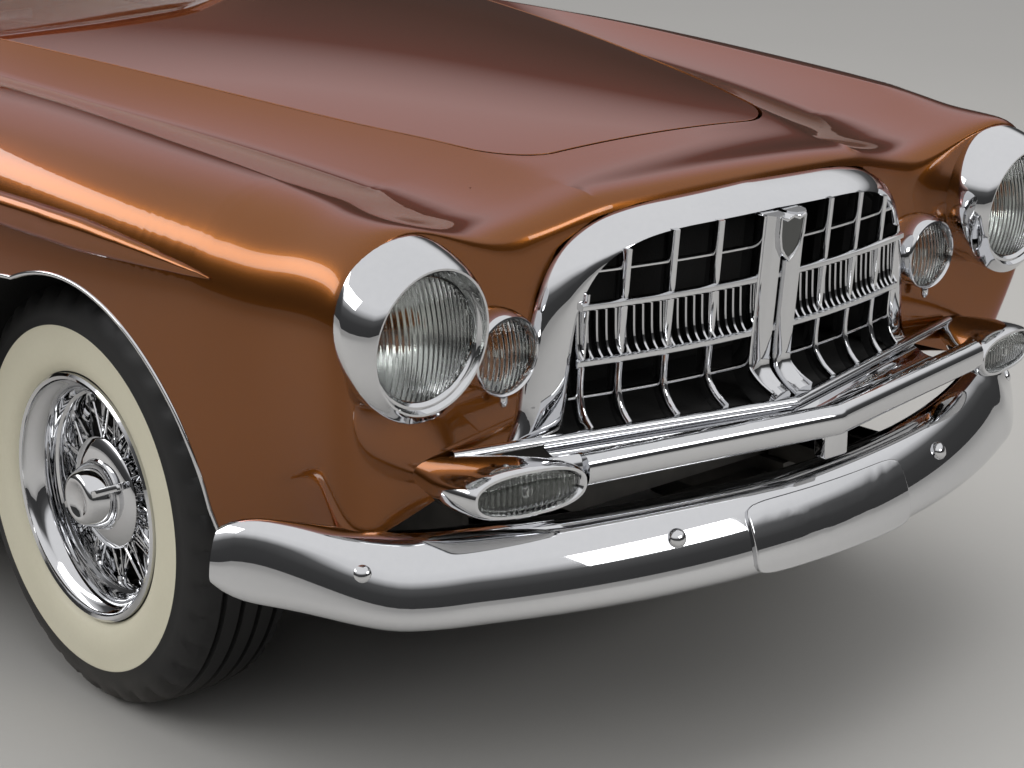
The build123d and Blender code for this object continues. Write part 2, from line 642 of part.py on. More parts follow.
def knuckle():
    z = TYRE_RADIUS
    post = rod((KINGPIN_X, FRONT_AXLE_Y, z - 98), (KINGPIN_X, FRONT_AXLE_Y, z + 98), 25)
    spindle = rod((KINGPIN_X, FRONT_AXLE_Y, z), (WHEEL_X + 50, FRONT_AXLE_Y, z), SPINDLE_RADIUS)
    bore = rod((KINGPIN_X, FRONT_AXLE_Y, z - 120), (KINGPIN_X, FRONT_AXLE_Y, z + 120), KINGPIN_RADIUS + RUNNING_CLEARANCE)
    return post + spindle - bore


def front_suspension():
    z = TYRE_RADIUS
    cross = box((-RAIL_X + RAIL_WIDTH / 2, RAIL_X - RAIL_WIDTH / 2), (FRONT_AXLE_Y - 60, FRONT_AXLE_Y + 60), (RAIL_LOW_Z, 300))
    side = None
    for low, high in ((z - 132, z - 106), (z + 106, z + 132)):
        arm = box((RAIL_X + RAIL_WIDTH / 2, KINGPIN_X), (FRONT_AXLE_Y - 36, FRONT_AXLE_Y + 36), (low, high))
        arm += rod((KINGPIN_X, FRONT_AXLE_Y, low), (KINGPIN_X, FRONT_AXLE_Y, high), 26)
        side = arm if side is None else side + arm
    side += rod((KINGPIN_X, FRONT_AXLE_Y, z - 120), (KINGPIN_X, FRONT_AXLE_Y, z + 120), KINGPIN_RADIUS)
    tower = box((RAIL_X - 36, RAIL_X + RAIL_WIDTH / 2 + 1), (FRONT_AXLE_Y - 50, FRONT_AXLE_Y + 50), (RAIL_HIGH_Z, z + 140))
    return Compound([*cross.solids(), *both(side + tower).solids()])


def rear_axle():
    z = TYRE_RADIUS
    tube = rod((-KINGPIN_X, REAR_AXLE_Y, z), (KINGPIN_X, REAR_AXLE_Y, z), 40)
    stub = rod((KINGPIN_X - 1, REAR_AXLE_Y, z), (WHEEL_X + 50, REAR_AXLE_Y, z), SPINDLE_RADIUS)
    casing = Pos(0, REAR_AXLE_Y, z) * Sphere(128)
    shaft = rod((0, FRONT_AXLE_Y + 1325, 400), (0, REAR_AXLE_Y, z), 38)
    inside, outside = RAIL_X + RAIL_WIDTH / 2 + SEAT, SPRING_X + 30
    spring = box((SPRING_X - 30, outside), (REAR_AXLE_Y - 480, REAR_AXLE_Y + 480), (RAIL_HIGH_Z - 32, RAIL_HIGH_Z))
    pad = box((SPRING_X - 30, outside), (REAR_AXLE_Y - 50, REAR_AXLE_Y + 50), (RAIL_HIGH_Z - 1, z))
    eye = box((inside, outside), (REAR_AXLE_Y - 490, REAR_AXLE_Y - 440), (RAIL_LOW_Z + 20, RAIL_HIGH_Z - 12))
    shackle = box((inside, outside), (REAR_AXLE_Y + 440, REAR_AXLE_Y + 490), (RAIL_HIGH_Z - 30, RAIL_HIGH_Z + RAIL_KICK - 40))
    half = stub + spring + pad + eye + shackle
    return tube + casing + shaft + half + mirrored(half)


def rail():
    """A frame rail that rises over the rear axle."""
    low_y, high_y = REAR_AXLE_Y - 275, REAR_AXLE_Y - 165
    low = [(RAIL_FRONT_Y, 0), (low_y, 0), (high_y, RAIL_KICK), (RAIL_REAR_Y, RAIL_KICK)]
    height = RAIL_HIGH_Z - RAIL_LOW_Z
    points = [(y, RAIL_LOW_Z + z) for y, z in low] + [(y, RAIL_LOW_Z + z + height) for y, z in reversed(low)]
    plane = Plane((RAIL_X - RAIL_WIDTH / 2, 0, 0), x_dir=(0, 1, 0), z_dir=(1, 0, 0))
    return plate(points, RAIL_WIDTH, plane)


def cross_members():
    """Square tubes between the rails, holed where the exhaust passes."""
    inside = RAIL_X - RAIL_WIDTH / 2
    passage = rod((PIPE_X, RAIL_FRONT_Y, PIPE_Z), (PIPE_X, RAIL_REAR_Y, PIPE_Z), PIPE_RADIUS + 6)
    solids = []
    # Columns: y, low z
    places = [
        (RAIL_FRONT_Y + 35, RAIL_LOW_Z),
        (FRONT_AXLE_Y + 885, RAIL_LOW_Z),
        (REAR_AXLE_Y - 885, RAIL_LOW_Z),
        (REAR_AXLE_Y + 635, RAIL_LOW_Z + RAIL_KICK),
    ]
    for y, z in places:
        solids += (box((-inside, inside), (y - 35, y + 35), (z, z + 75)) - passage).solids()
    return Compound(solids)


def floor_pan():
    """Floor with its tunnel, firewall, the step up to the trunk and the trunk floor, and the shelf behind the seat."""
    front, step, back = FIREWALL_Y, TRUNK_STEP_Y, TAIL_Y - WALL - SEAT
    floor = box((-790, 790), (front, REAR_AXLE_Y - 440), (FLOOR_Z, FLOOR_Z + SHEET))
    floor += box((-560, 560), (front, step), (FLOOR_Z, FLOOR_Z + SHEET))
    tunnel = box((-TUNNEL_HALF_WIDTH, TUNNEL_HALF_WIDTH), (front, step), (FLOOR_Z, TUNNEL_Z))
    wall = box((-BELT_X + 30, BELT_X - 30), (front, front + SHEET), (FLOOR_Z, BELT_Z - WALL - 20))
    top = box((-BELT_X + 30, BELT_X - 30), (front, DASH_FRONT_Y - SEAT), (BELT_Z - WALL - 40, BELT_Z - WALL - 20))
    riser = box((-560, 560), (step, step + SHEET), (FLOOR_Z, BELT_Z - 38))
    trunk = box((-560, 560), (step, back), (TRUNK_FLOOR_Z - SHEET, TRUNK_FLOOR_Z))
    shelf = box((-620, 620), (step - 120, REAR_WINDOW_BASE_Y - 40), (BELT_Z - 38, BELT_Z - 38 + SHEET))
    post = box((BELT_X - 40, 776), (front, DOOR_FRONT_Y - SHUT_GAP), (FLOOR_Z, BELT_Z - WALL - 40))
    for z in (400, 780):
        post += box((775, 862), (front, DOOR_FRONT_Y - SEAT), (z, z + 70))
    seat_y = HOOD_REAR_Y - SHUT_GAP - 25
    deck_z, edge_x, edge_z = row_at(FRONT_TOP, seat_y)[:3]
    seat_z = edge_z + arc_rise(HINGE_X + 40, edge_x - SHUT_GAP, deck_z - edge_z) - WALL - SEAT
    post += box((HINGE_X, HINGE_X + 40), (seat_y, seat_y + 20), (BELT_Z - WALL - 21, seat_z))
    inside_x = TUNNEL_HALF_WIDTH - SHEET
    inside = box((-inside_x, inside_x), (front - 10, step + 40), (FLOOR_Z - 10, TUNNEL_Z - SHEET))
    notch = box((RAIL_X - 42, RAIL_X + 42), (step - 1, step + 40), (FLOOR_Z - 10, RAIL_HIGH_Z + 60))
    return floor + tunnel + wall + top + riser + trunk + shelf + post + mirrored(post) - inside - notch - mirrored(notch)


def sills():
    start, end = FRONT_AXLE_Y + 455, REAR_AXLE_Y - 440
    sill = box((776, 896), (start + 10, end), (190, 240)) + box((776, 790), (FIREWALL_Y, end), (239, FLOOR_Z - SEAT))
    return both(sill)


def inner_fenders():
    """The upright walls between the engine and the front wheels, and those between the trunk and the rear wheels."""
    along = (BRACKET_REAR_Y + 5, FIREWALL_Y - 4)
    wall = box((386, 398), along, (RAIL_HIGH_Z + 1, 812))
    foot = box((RAIL_X, 398), along, (RAIL_HIGH_Z + SEAT, RAIL_HIGH_Z + 13))
    gap = box((RAIL_X - 50, 410), (FRONT_AXLE_Y - 60, FRONT_AXLE_Y + 60), (RAIL_HIGH_Z - 10, TYRE_RADIUS + 150))
    rear = box((560.3, 574), (REAR_AXLE_Y - 400, REAR_AXLE_Y + 400), (TRUNK_FLOOR_Z - 120, 880))
    return both(Compound([*(wall + foot - gap).solids(), rear.solid()]))


def engine():
    block = box((-190, 190), (FRONT_AXLE_Y + 70, FRONT_AXLE_Y + 860), (ENGINE_LOW_Z, 860))
    front = box((-150, 150), (FRONT_AXLE_Y - 180, FRONT_AXLE_Y + 70), (RAIL_HIGH_Z + 10, 700))
    gearbox = rod((0, FRONT_AXLE_Y + 859, 405), (0, FRONT_AXLE_Y + 1324, 405), 95)
    mount = box((-RAIL_X + 20, RAIL_X - 20), (FRONT_AXLE_Y + 300, FRONT_AXLE_Y + 380), (RAIL_HIGH_Z + SEAT, 360))
    return block + front + gearbox + mount


def radiator():
    return box((-RAIL_X + 20, RAIL_X - 20), (HOOD_FRONT_Y + 17, HOOD_FRONT_Y + 82), (RAIL_HIGH_Z + SEAT, 880))


def exhaust():
    start = FRONT_AXLE_Y + 720
    corners = [(PIPE_X, start, PIPE_Z), (PIPE_X + 75, start, PIPE_Z)]
    pipe = rod(corners[0], (PIPE_X, TAIL_Y - 10, PIPE_Z), PIPE_RADIUS)
    silencer = rod((PIPE_X, REAR_AXLE_Y - 805, PIPE_Z), (PIPE_X, REAR_AXLE_Y - 325, PIPE_Z), 55)
    elbow = rod(*corners, PIPE_RADIUS)
    riser = rod(corners[1], (PIPE_X + 75, start, ENGINE_LOW_Z - SEAT), PIPE_RADIUS)
    bends = [Pos(*corner) * Sphere(PIPE_RADIUS + 1) for corner in corners]
    return pipe.fuse(silencer, elbow, riser, *bends)


def fuel_tank():
    return box((-270, 270), (REAR_AXLE_Y + 330, REAR_AXLE_Y + 580), (330, TRUNK_FLOOR_Z - SHEET - SEAT))


def dashboard():
    front, back, top = DASH_FRONT_Y, DASH_FRONT_Y + 155, BELT_Z - WALL - 5
    points = [(front, top), (back - 10, top), (back + 15, 930), (back - 10, 770), (back - 60, 770), (front, 880)]
    plane = Plane((-640, 0, 0), x_dir=(0, 1, 0), z_dir=(1, 0, 0))
    return plate(points, 1280, plane)


STEERING_X = 370
COLUMN_START = Vector(STEERING_X, FIREWALL_Y + SHEET + 10, 560)
COLUMN_END = Vector(STEERING_X, HOOD_REAR_Y + 460, 800)
STEERING_RADIUS = 212


def steering_wheel():
    axis = (COLUMN_END - COLUMN_START).normalized()
    plane = Plane(COLUMN_END + axis * 60, x_dir=(1, 0, 0), z_dir=axis)
    grip = plane * Torus(STEERING_RADIUS, 11)
    hub = rod(tuple(COLUMN_END + axis * SEAT), tuple(COLUMN_END + axis * 66), 34)
    spoke = plane * Box(2 * STEERING_RADIUS, 26, 10)
    return grip + spoke + hub


def cabin_y(share):
    """The place that far along the floor between the cowl and the front of the rear seat."""
    return COWL_REAR_Y + share * (REAR_SEAT_Y - COWL_REAR_Y)


def front_seat():
    start, end = cabin_y(0.364), cabin_y(0.808)
    cushion = box((-640, 640), (start, end), (FLOOR_Z + SHEET + SEAT, 560))
    cushion -= box((-TUNNEL_HALF_WIDTH - 6, TUNNEL_HALF_WIDTH + 6), (start - 20, end + 20), (300, TUNNEL_Z + 6))
    back = [cabin_y(share) for share in (0.74, 0.842, 0.919)]
    points = [(back[0], 558), (back[1], 558), (back[2], 1010), (back[1], 1010)]
    plane = Plane((-640, 0, 0), x_dir=(0, 1, 0), z_dir=(1, 0, 0))
    return cushion + plate(points, 1280, plane)


def rear_seat():
    step = TRUNK_STEP_Y
    cushion = box((-555, 555), (REAR_SEAT_Y, step - SEAT), (FLOOR_Z + SHEET + SEAT, 555))
    cushion -= box((-TUNNEL_HALF_WIDTH - 6, TUNNEL_HALF_WIDTH + 6), (REAR_SEAT_Y - 10, step + 1), (300, TUNNEL_Z + 6))
    points = [(step - 150, 553), (step - 1, 553), (step - 1, 950), (step - 60, 950)]
    plane = Plane((-555, 0, 0), x_dir=(0, 1, 0), z_dir=(1, 0, 0))
    return cushion + plate(points, 1110, plane)


def tail_lamp():
    return dome(628, TAIL_Y + 30 + SEAT, 640, 48, 30, 30, forward=False)


def bumper_front():
    bar = bumper(True)
    sides = (RAIL_X - 26, RAIL_X + 26)
    bracket = box(sides, (NOSE_Y - 130, BRACKET_REAR_Y), (RAIL_HIGH_Z + SEAT, 400))
    bracket += box(sides, (NOSE_Y - 198, BRACKET_REAR_Y), (BUMPER_LOW_Z + 6, 400))
    return bar + bracket + mirrored(bracket)


def bumper_rear():
    bar = bumper(False)
    high = RAIL_LOW_Z + RAIL_KICK - SEAT
    bracket = box((RAIL_X - 26, RAIL_X + 26), (RAIL_REAR_Y - 90, TAIL_Y + 60), (high - 50, high))
    return bar + bracket + mirrored(bracket)


def main():
    os.makedirs("parts", exist_ok=True)
    fender, quarter, door_left = front_fender(), rear_quarter(), door()
    tail, strip = rear_deck()
    door_front = COWL_REAR_Y + 52
    pane = side_pane([(door_front, 0), (DOOR_REAR_Y - 6, 0), (DOOR_REAR_Y - 6, 0.94), (ROOF_FRONT_Y + 62, 0.94)])
    quarter_pane = side_pane([
        (DOOR_REAR_Y + 8, 0), (REAR_WINDOW_BASE_Y - 336, 0), (ROOF_REAR_Y - 136, 0.94), (DOOR_REAR_Y + 8, 0.94),
    ])
    nodes = {
        "fender_front_left": fender,
        "fender_front_right": mirrored(fender),
        "nose_panel": nose_panel(),
        "hood": hood(),
        "cowl_panel": cowl_panel() - windshield(),
        "door_left": door_left,
        "door_right": mirrored(door_left),
        "quarter_left": quarter,
        "quarter_right": mirrored(quarter),
        "sills": sills(),
        "roof": roof(),
        "tail_panel": tail,
        "rear_deck": strip,
        "trunk_lid": trunk_lid(),
        "windshield": windshield(),
        "rear_window": rear_window(),
        "door_glass_left": pane,
        "door_glass_right": mirrored(pane),
        "quarter_windows": both(quarter_pane),
        "grille_surround": surround(),
        "grille": grille(),
        "front_apron": front_end_trim(),
        "upper_bar": upper_bar(),
        "bumper_front": bumper_front(),
        "bumper_rear": bumper_rear(),
        "lamp_rims": both(Compound([
            *lamp_rim(*HEADLAMP, 128, HEADLAMP_RIM_RADIUS, 84, HEADLAMP_GLASS_RADIUS, 22).solids(),
            *lamp_rim(*DRIVING_LAMP, DRIVING_RIM_RADIUS, DRIVING_RIM_RADIUS, 40, DRIVING_LAMP_RADIUS, 0).solids(),
        ])),
        "lamp_lenses": both(Compound([
            *lamp_lens(*HEADLAMP, HEADLAMP_GLASS_RADIUS - SEAT, NOSE_Y - 56, 22).solids(),
            *lamp_lens(*DRIVING_LAMP, DRIVING_LAMP_RADIUS - SEAT, NOSE_Y - 26, 14).solids(),
            *parking_lens().solids(),
        ])),
        "tail_lamps": both(tail_lamp()),
        "frame_rail_left": rail(),
        "frame_rail_right": mirrored(rail()),
        "frame_cross_members": cross_members(),
        "floor_pan": floor_pan(),
        "inner_fenders": inner_fenders(),
        "engine": engine(),
        "radiator": radiator(),
        "exhaust": exhaust(),
        "fuel_tank": fuel_tank(),
        "front_suspension": front_suspension(),
        "knuckle_front_left": knuckle(),
        "knuckle_front_right": mirrored(knuckle()),
        "rear_axle": rear_axle(),
        "dashboard": dashboard(),
        "steering_column": rod(tuple(COLUMN_START), tuple(COLUMN_END), 22),
        "steering_wheel": steering_wheel(),
        "front_seat": front_seat(),
        "rear_seat": rear_seat(),
    }
    wheel, rubber = wire_wheel(), tyre()
    for end, y in (("front", FRONT_AXLE_Y), ("rear", REAR_AXLE_Y)):
        for name, shape in (("wheel", wheel), ("tyre", rubber)):
            placed = Pos(WHEEL_X, y, TYRE_RADIUS) * shape
            nodes[f"{name}_{end}_left"] = placed
            nodes[f"{name}_{end}_right"] = mirrored(placed)
    for name, shape in nodes.items():
        export(name, shape)


main()
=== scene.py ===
"""A 1950s two-door hardtop in copper paint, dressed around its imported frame.

Metres throughout. The car faces -Y, +X is its own left side, +Z is up and the floor is Z = 0.
"""

from functools import partial
from math import atan, atan2, copysign, cos, hypot, pi, radians, sin, sqrt

import bmesh
import bpy
from mathutils import Matrix, Vector


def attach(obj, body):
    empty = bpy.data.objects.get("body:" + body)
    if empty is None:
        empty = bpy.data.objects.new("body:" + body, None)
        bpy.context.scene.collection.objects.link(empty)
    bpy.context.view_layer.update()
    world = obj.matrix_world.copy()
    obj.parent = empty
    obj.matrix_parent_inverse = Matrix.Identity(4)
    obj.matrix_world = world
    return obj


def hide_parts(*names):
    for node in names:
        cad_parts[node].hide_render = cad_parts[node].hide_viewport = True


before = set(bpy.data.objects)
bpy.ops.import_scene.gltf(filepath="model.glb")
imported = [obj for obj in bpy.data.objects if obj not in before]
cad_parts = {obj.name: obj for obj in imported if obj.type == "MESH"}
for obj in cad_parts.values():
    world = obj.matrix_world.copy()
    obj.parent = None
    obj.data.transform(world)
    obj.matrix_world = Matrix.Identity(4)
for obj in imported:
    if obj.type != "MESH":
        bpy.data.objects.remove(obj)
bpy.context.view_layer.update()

bl_info = {
    "name": "Copper Hardtop",
    "version": (1, 0, 0),
    "blender": (4, 5, 0),
    "location": "View3D > Sidebar > Hardtop",
    "description": "Builds the panels, bright work, wheels and cabin of a 1950s two-door hardtop",
    "category": "Object",
}

FRONT_AXLE = -1.745
REAR_AXLE = 1.445
WHEEL_X = 0.695
TYRE_RADIUS = 0.357
BELT_X = 0.712
BELT_Z = 0.993
LEDGE_X = BELT_X - 0.018
RAIL_TOP_X = 0.59
RAIL_TOP_Z = 1.38
SHUT_GAP = 0.005
UP = (0, 0, 1)
SIDES = ("left", "right")
HOOD_FRONT = FRONT_AXLE - 0.512
HOOD_REAR = FRONT_AXLE + 1.135
HOOD_CORNER = 0.09
COWL_REAR = FRONT_AXLE + 1.278
DOOR_FRONT = FRONT_AXLE + 1.105
DOOR_REAR = REAR_AXLE - 0.895
TAIL_Y = REAR_AXLE + 1.15
LID_FRONT = REAR_AXLE - 0.185
LID_HALF = 0.52
LID_LOW = 0.545
ROOF_FRONT = FRONT_AXLE + 1.665
ROOF_REAR = REAR_AXLE - 0.545
REAR_WINDOW_BASE = REAR_AXLE - 0.215
WINDSHIELD_BASE = FRONT_AXLE + 1.205
NOSE_START = -2.33
NOSE_FULLNESS = 2.8
LAMP_FULLNESS = 5.5
LAMP_REACH = 0.04
LAMP_HEIGHT = 0.785
SIDE_BOW = 0.034
LOW_BOW = 0.016
TOP_BOW = -0.003
VALLEY_BOW = -0.004
# Circles that the wheel arches are made of: y, z, radius
FRONT_ARCH = ((FRONT_AXLE + 0.01, 0.3, 0.44), (FRONT_AXLE - 0.1, 0.456, 0.308))
REAR_ARCH = ((REAR_AXLE, 0.297, 0.425),)
LIP_Z = 0.555

# Body side from nose to tail: crown is the crease on top of the fender, side the widest point, low the bottom edge.
# Columns: axle, distance behind it, crown x, crown z, side x, side z, low x, low z
SIDE = (
    (FRONT_AXLE, -0.7, 0.679, 0.903, 0.772, 0.77, 0.71, 0.466),
    (FRONT_AXLE, -0.515, 0.678, 0.926, 0.822, 0.806, 0.765, 0.428),
    (FRONT_AXLE, -0.195, 0.681, 0.951, 0.86, 0.838, 0.845, 0.33),
    (FRONT_AXLE, 0.295, 0.696, 0.982, 0.884, 0.85, 0.88, 0.262),
    (FRONT_AXLE, 0.845, 0.724, 0.992, 0.905, 0.848, 0.899, 0.25),
    (REAR_AXLE, -0.895, 0.736, 0.992, 0.915, 0.842, 0.905, 0.248),
    (REAR_AXLE, -0.3, 0.728, 0.989, 0.912, 0.832, 0.902, 0.25),
    (REAR_AXLE, 0.25, 0.704, 0.968, 0.89, 0.806, 0.88, 0.268),
    (REAR_AXLE, 0.755, 0.672, 0.918, 0.838, 0.765, 0.815, 0.32),
    (REAR_AXLE, 1.17, 0.64, 0.838, 0.748, 0.69, 0.712, 0.39),
)

# Top of the front body: deck is the middle of the bonnet, edge its shut line, valley the hollow beside the fender.
# Columns: axle, distance behind it, deck z, edge x, edge z, valley x, valley z
FRONT_TOP = (
    (FRONT_AXLE, -0.7, 0.888, 0.29, 0.876, 0.47, 0.85),
    (FRONT_AXLE, -0.515, 0.937, 0.303, 0.926, 0.488, 0.886),
    (FRONT_AXLE, -0.195, 0.985, 0.397, 0.96, 0.53, 0.922),
    (FRONT_AXLE, 0.295, 1.03, 0.502, 1.003, 0.585, 0.958),
    (FRONT_AXLE, 0.845, 1.062, 0.59, 1.036, 0.655, 1.003),
    (FRONT_AXLE, 1.345, 1.078, 0.606, 1.046, 0.675, 1.012),
)

# Top of the rear body, with the same columns; edge is the trunk lid's shut line.
REAR_TOP = (
    (REAR_AXLE, -0.26, 1.016, 0.527, 1.005, 0.65, 0.985),
    (REAR_AXLE, 0.25, 0.985, 0.527, 0.968, 0.63, 0.94),
    (REAR_AXLE, 0.755, 0.912, 0.527, 0.888, 0.6, 0.872),
    (REAR_AXLE, 1.17, 0.8, 0.527, 0.782, 0.57, 0.775),
)

# Half outlines of the grille's frame from the middle of the top down to the foot, as (x, z)
FRAME_OUTSIDE = ((0, 0.886), (0.218, 0.88), (0.3, 0.869), (0.371, 0.834), (0.408, 0.77), (0.427, 0.696),
                 (0.438, 0.62), (0.446, 0.541))
FRAME_INSIDE = ((0, 0.853), (0.192, 0.849), (0.263, 0.84), (0.329, 0.81), (0.362, 0.753), (0.369, 0.685),
                (0.371, 0.62), (0.371, 0.556))


# Curves that the panels share
FAIR_REACH = 0.16
FAIR_STEPS = 4
FAIRED = {}


def eased(t, low, high, slope_low, slope_high):
    """The smooth curve's value at t, going 0 to 1 between two ends with given slopes."""
    return (
        (2 * t**3 - 3 * t**2 + 1) * low
        + (t**3 - 2 * t**2 + t) * slope_low
        + (3 * t**2 - 2 * t**3) * high
        + (t**3 - t**2) * slope_high
    )


def row_at(table, y):
    """The table's columns at y, averaged over a short stretch so that highlights run clean along the body."""
    key = (id(table), round(y, 6))
    if key not in FAIRED:
        first, last = table[0][0] + table[0][1], table[-1][0] + table[-1][1]
        reach = max(0.0, min(FAIR_REACH, y - first, last - y))
        steps = range(-FAIR_STEPS, FAIR_STEPS + 1) if reach else (0,)
        weights = [cos(pi / 2 * k / (FAIR_STEPS + 1)) ** 2 for k in steps]
        rows = [table_row(table, y + reach * k / (FAIR_STEPS + 1)) for k in steps]
        FAIRED[key] = [sum(w * v for w, v in zip(weights, column)) / sum(weights) for column in zip(*rows)]
    return FAIRED[key]


def table_row(table, y):
    """The table's columns at y, on a smooth curve through its rows."""
    rows = [(row[0] + row[1], *row[2:]) for row in table]
    y = min(max(y, rows[0][0]), rows[-1][0])
    i = max(k for k in range(len(rows) - 1) if rows[k][0] <= y)
    before, low, high, after = rows[max(i - 1, 0)], rows[i], rows[i + 1], rows[min(i + 2, len(rows) - 1)]
    span = high[0] - low[0]
    t = (y - low[0]) / span
    values = []
    for k in range(1, len(low)):
        slope_low = (high[k] - before[k]) / (high[0] - before[0]) * span
        slope_high = (after[k] - low[k]) / (after[0] - low[0]) * span
        values.append(eased(t, low[k], high[k], slope_low, slope_high))
    return values


def spaced(start, end, count):
    return [start + (end - start) * i / (count - 1) for i in range(count)]


def arc(start, end, bow, count=16):
    """Points on the shallow arc between two points, its middle bowed to the left of the way."""
    start, end = Vector(start), Vector(end)
    middle, along = (start + end) / 2, (end - start)
    left = Vector((-along.y, along.x)).normalized()
    half = 2 * atan(2 * bow / along.length)
    radius = (along.length_squared / 4 + bow * bow) / (2 * bow)
    centre = middle + left * (bow - radius)
    forward = along.normalized()
    return [centre + (left * cos(a) + forward * sin(a)) * radius for a in spaced(-half, half, count)]


def spread(points, count):
    """That many points at even distances along a line of points."""
    points = [Vector(p) for p in points]
    reach = [0.0]
    for a, b in zip(points, points[1:]):
        reach.append(reach[-1] + (b - a).length)
    result = []
    k = 0
    for target in spaced(0, reach[-1], count):
        while k < len(points) - 2 and reach[k + 1] < target:
            k += 1
        share = (target - reach[k]) / max(reach[k + 1] - reach[k], 1e-9)
        result.append(points[k].lerp(points[k + 1], min(share, 1)))
    return result


def smooth_step(value, low, high):
    t = min(1.0, max(0.0, (value - low) / (high - low)))
    return t * t * (3 - 2 * t)


def along_line(points, share):
    """The point at that share of the length of a line of points."""
    return spread(points, 201)[round(share * 200)]


def smooth_line(points, count):
    """That many points on a smooth curve through a few."""
    points = [Vector(p) for p in points]
    dense = []
    for i in range(len(points) - 1):
        before, after = points[max(i - 1, 0)], points[min(i + 2, len(points) - 1)]
        slopes = (points[i + 1] - before) / 2, (after - points[i]) / 2
        dense += [eased(t, points[i], points[i + 1], *slopes) for t in spaced(0, 1, 13)[:-1]]
    return spread(dense + [points[-1]], count)


def side_line(y, stop=-1.0):
    """(x, z) points of the body side at y, from the crown down to its low edge or to the height stop."""
    row = row_at(SIDE, y)
    points = arc(row[:2], row[2:4], SIDE_BOW) + arc(row[2:4], row[4:], LOW_BOW)[1:]
    for _ in range(10):
        points[8:24] = [a * 0.25 + b * 0.5 + c * 0.25 for a, b, c in zip(points[7:], points[8:24], points[9:])]
    points = smooth_line(points, 161)
    kept = [points[0]]
    for a, b in zip(points, points[1:]):
        if b.y < stop:
            kept.append(a.lerp(b, (a.y - stop) / (a.y - b.y)))
            break
        kept.append(b)
    return kept


def held(points, at_end, gap=0.004):
    """The line with one more point close to its start or end, which keeps the crease there crisp."""
    if at_end:
        return points[:-1] + [points[-1].lerp(points[-2], gap / (points[-1] - points[-2]).length), points[-1]]
    return held(points[::-1], True, gap)[::-1]


def shoulder_lines(table, y):
    """The two (x, z) lines from the shut line to the valley and from there to the crown."""
    edge_x, edge_z, *valley = row_at(table, y)[1:]
    crown = row_at(SIDE, y)[:2]
    return arc((edge_x, edge_z), valley, VALLEY_BOW, 41), arc(valley, crown, TOP_BOW, 41)


def deck_point(table, y, share):
    """A point on the crowned top, share running from 0 in the middle to 1 at the shut line."""
    deck_z, edge_x, edge_z = row_at(table, y)[:3]
    return Vector((edge_x * share, y, deck_z + (edge_z - deck_z) * share * share))


def arch_height(wheel_arch, y):
    """How high the wheel arch stands at y, or below everything beside it."""
    heights = [z + sqrt(radius**2 - (y - centre) ** 2) for centre, z, radius in wheel_arch if abs(y - centre) < radius]
    return max(heights, default=-1.0)


def arch_limits(wheel_arch):
    return min(y - radius for y, _, radius in wheel_arch), max(y + radius for y, _, radius in wheel_arch)


def arch_stations(wheel_arch, count=24):
    """Stations along y, front to back, that follow the arch closely near its feet."""
    stations = [y - radius * cos(angle) for y, _, radius in wheel_arch for angle in spaced(0.0, pi, count)]
    kept = []
    for y in sorted(stations):
        if not kept or y - kept[-1] > 0.0015:
            kept.append(y)
    return kept


# Mesh building
def surface(columns, rows, place):
    """A grid of faces whose corners lie at place(column, row) for the given values."""
    bm = bmesh.new()
    bmesh.ops.create_grid(bm, x_segments=len(columns) - 1, y_segments=len(rows) - 1, size=1)
    for vert in bm.verts:
        i = round((vert.co.x + 1) / 2 * (len(columns) - 1))
        j = round((vert.co.y + 1) / 2 * (len(rows) - 1))
        vert.co = place(columns[i], rows[j])
    return bm


def tube(rings, caps=True):
    """A skin over closed rings that all have the same number of points, closed at its ends."""
    count = len(rings[0])
    bm = surface(range(count + 1), range(len(rings)), lambda i, j: rings[j][i % count])
    bmesh.ops.remove_doubles(bm, verts=bm.verts, dist=1e-6)
    if caps:
        bmesh.ops.holes_fill(bm, edges=[edge for edge in bm.edges if edge.is_boundary], sides=0)
    return bm


def joined(*parts):
    """One bmesh out of several, which are freed."""
    whole = bmesh.new()
    for part in parts:
        scratch = bpy.data.meshes.new("part")
        part.to_mesh(scratch)
        part.free()
        whole.from_mesh(scratch)
        bpy.data.meshes.remove(scratch)
    return whole


def mirrored(bm):
    """The other side's shape."""
    bmesh.ops.scale(bm, vec=(-1, 1, 1), verts=bm.verts)
    bmesh.ops.reverse_faces(bm, faces=bm.faces)
    return bm


def both_sides(bm):
    return joined(bm.copy(), mirrored(bm))


def on_side(side, bm):
    """The left side's shape, turned over where side is right."""
    return mirrored(bm) if side == "right" else bm


def moved(bm, offset=(0, 0, 0), turn=None):
    if turn:
        bmesh.ops.rotate(bm, cent=(0, 0, 0), matrix=turn, verts=bm.verts)
    bmesh.ops.translate(bm, vec=offset, verts=bm.verts)
    return bm


def rotation(degrees, axis):
    return Matrix.Rotation(radians(degrees), 3, axis)


def extruded(corners, offset):
    """A closed plate from the corners of one face, as thick as the offset."""
    bm = bmesh.new()
    face = bm.faces.new([bm.verts.new(corner) for corner in corners])
    raised = bmesh.ops.extrude_face_region(bm, geom=[face])
    verts = [v for v in raised["geom"] if isinstance(v, bmesh.types.BMVert)]
    bmesh.ops.translate(bm, vec=offset, verts=verts)
    bmesh.ops.recalc_face_normals(bm, faces=bm.faces)
    return bm


def thickened(bm, thickness):
    """An open skin with a wall of its own."""
    bmesh.ops.recalc_face_normals(bm, faces=bm.faces)
    bmesh.ops.solidify(bm, geom=bm.faces[:], thickness=thickness)
    return bm


def rounded(bm, radius, segments):
    """The shape with all its edges rounded."""
    bmesh.ops.bevel(bm, geom=bm.edges[:], offset=radius, segments=segments, profile=0.5, affect="EDGES", material=-1)
    return bm


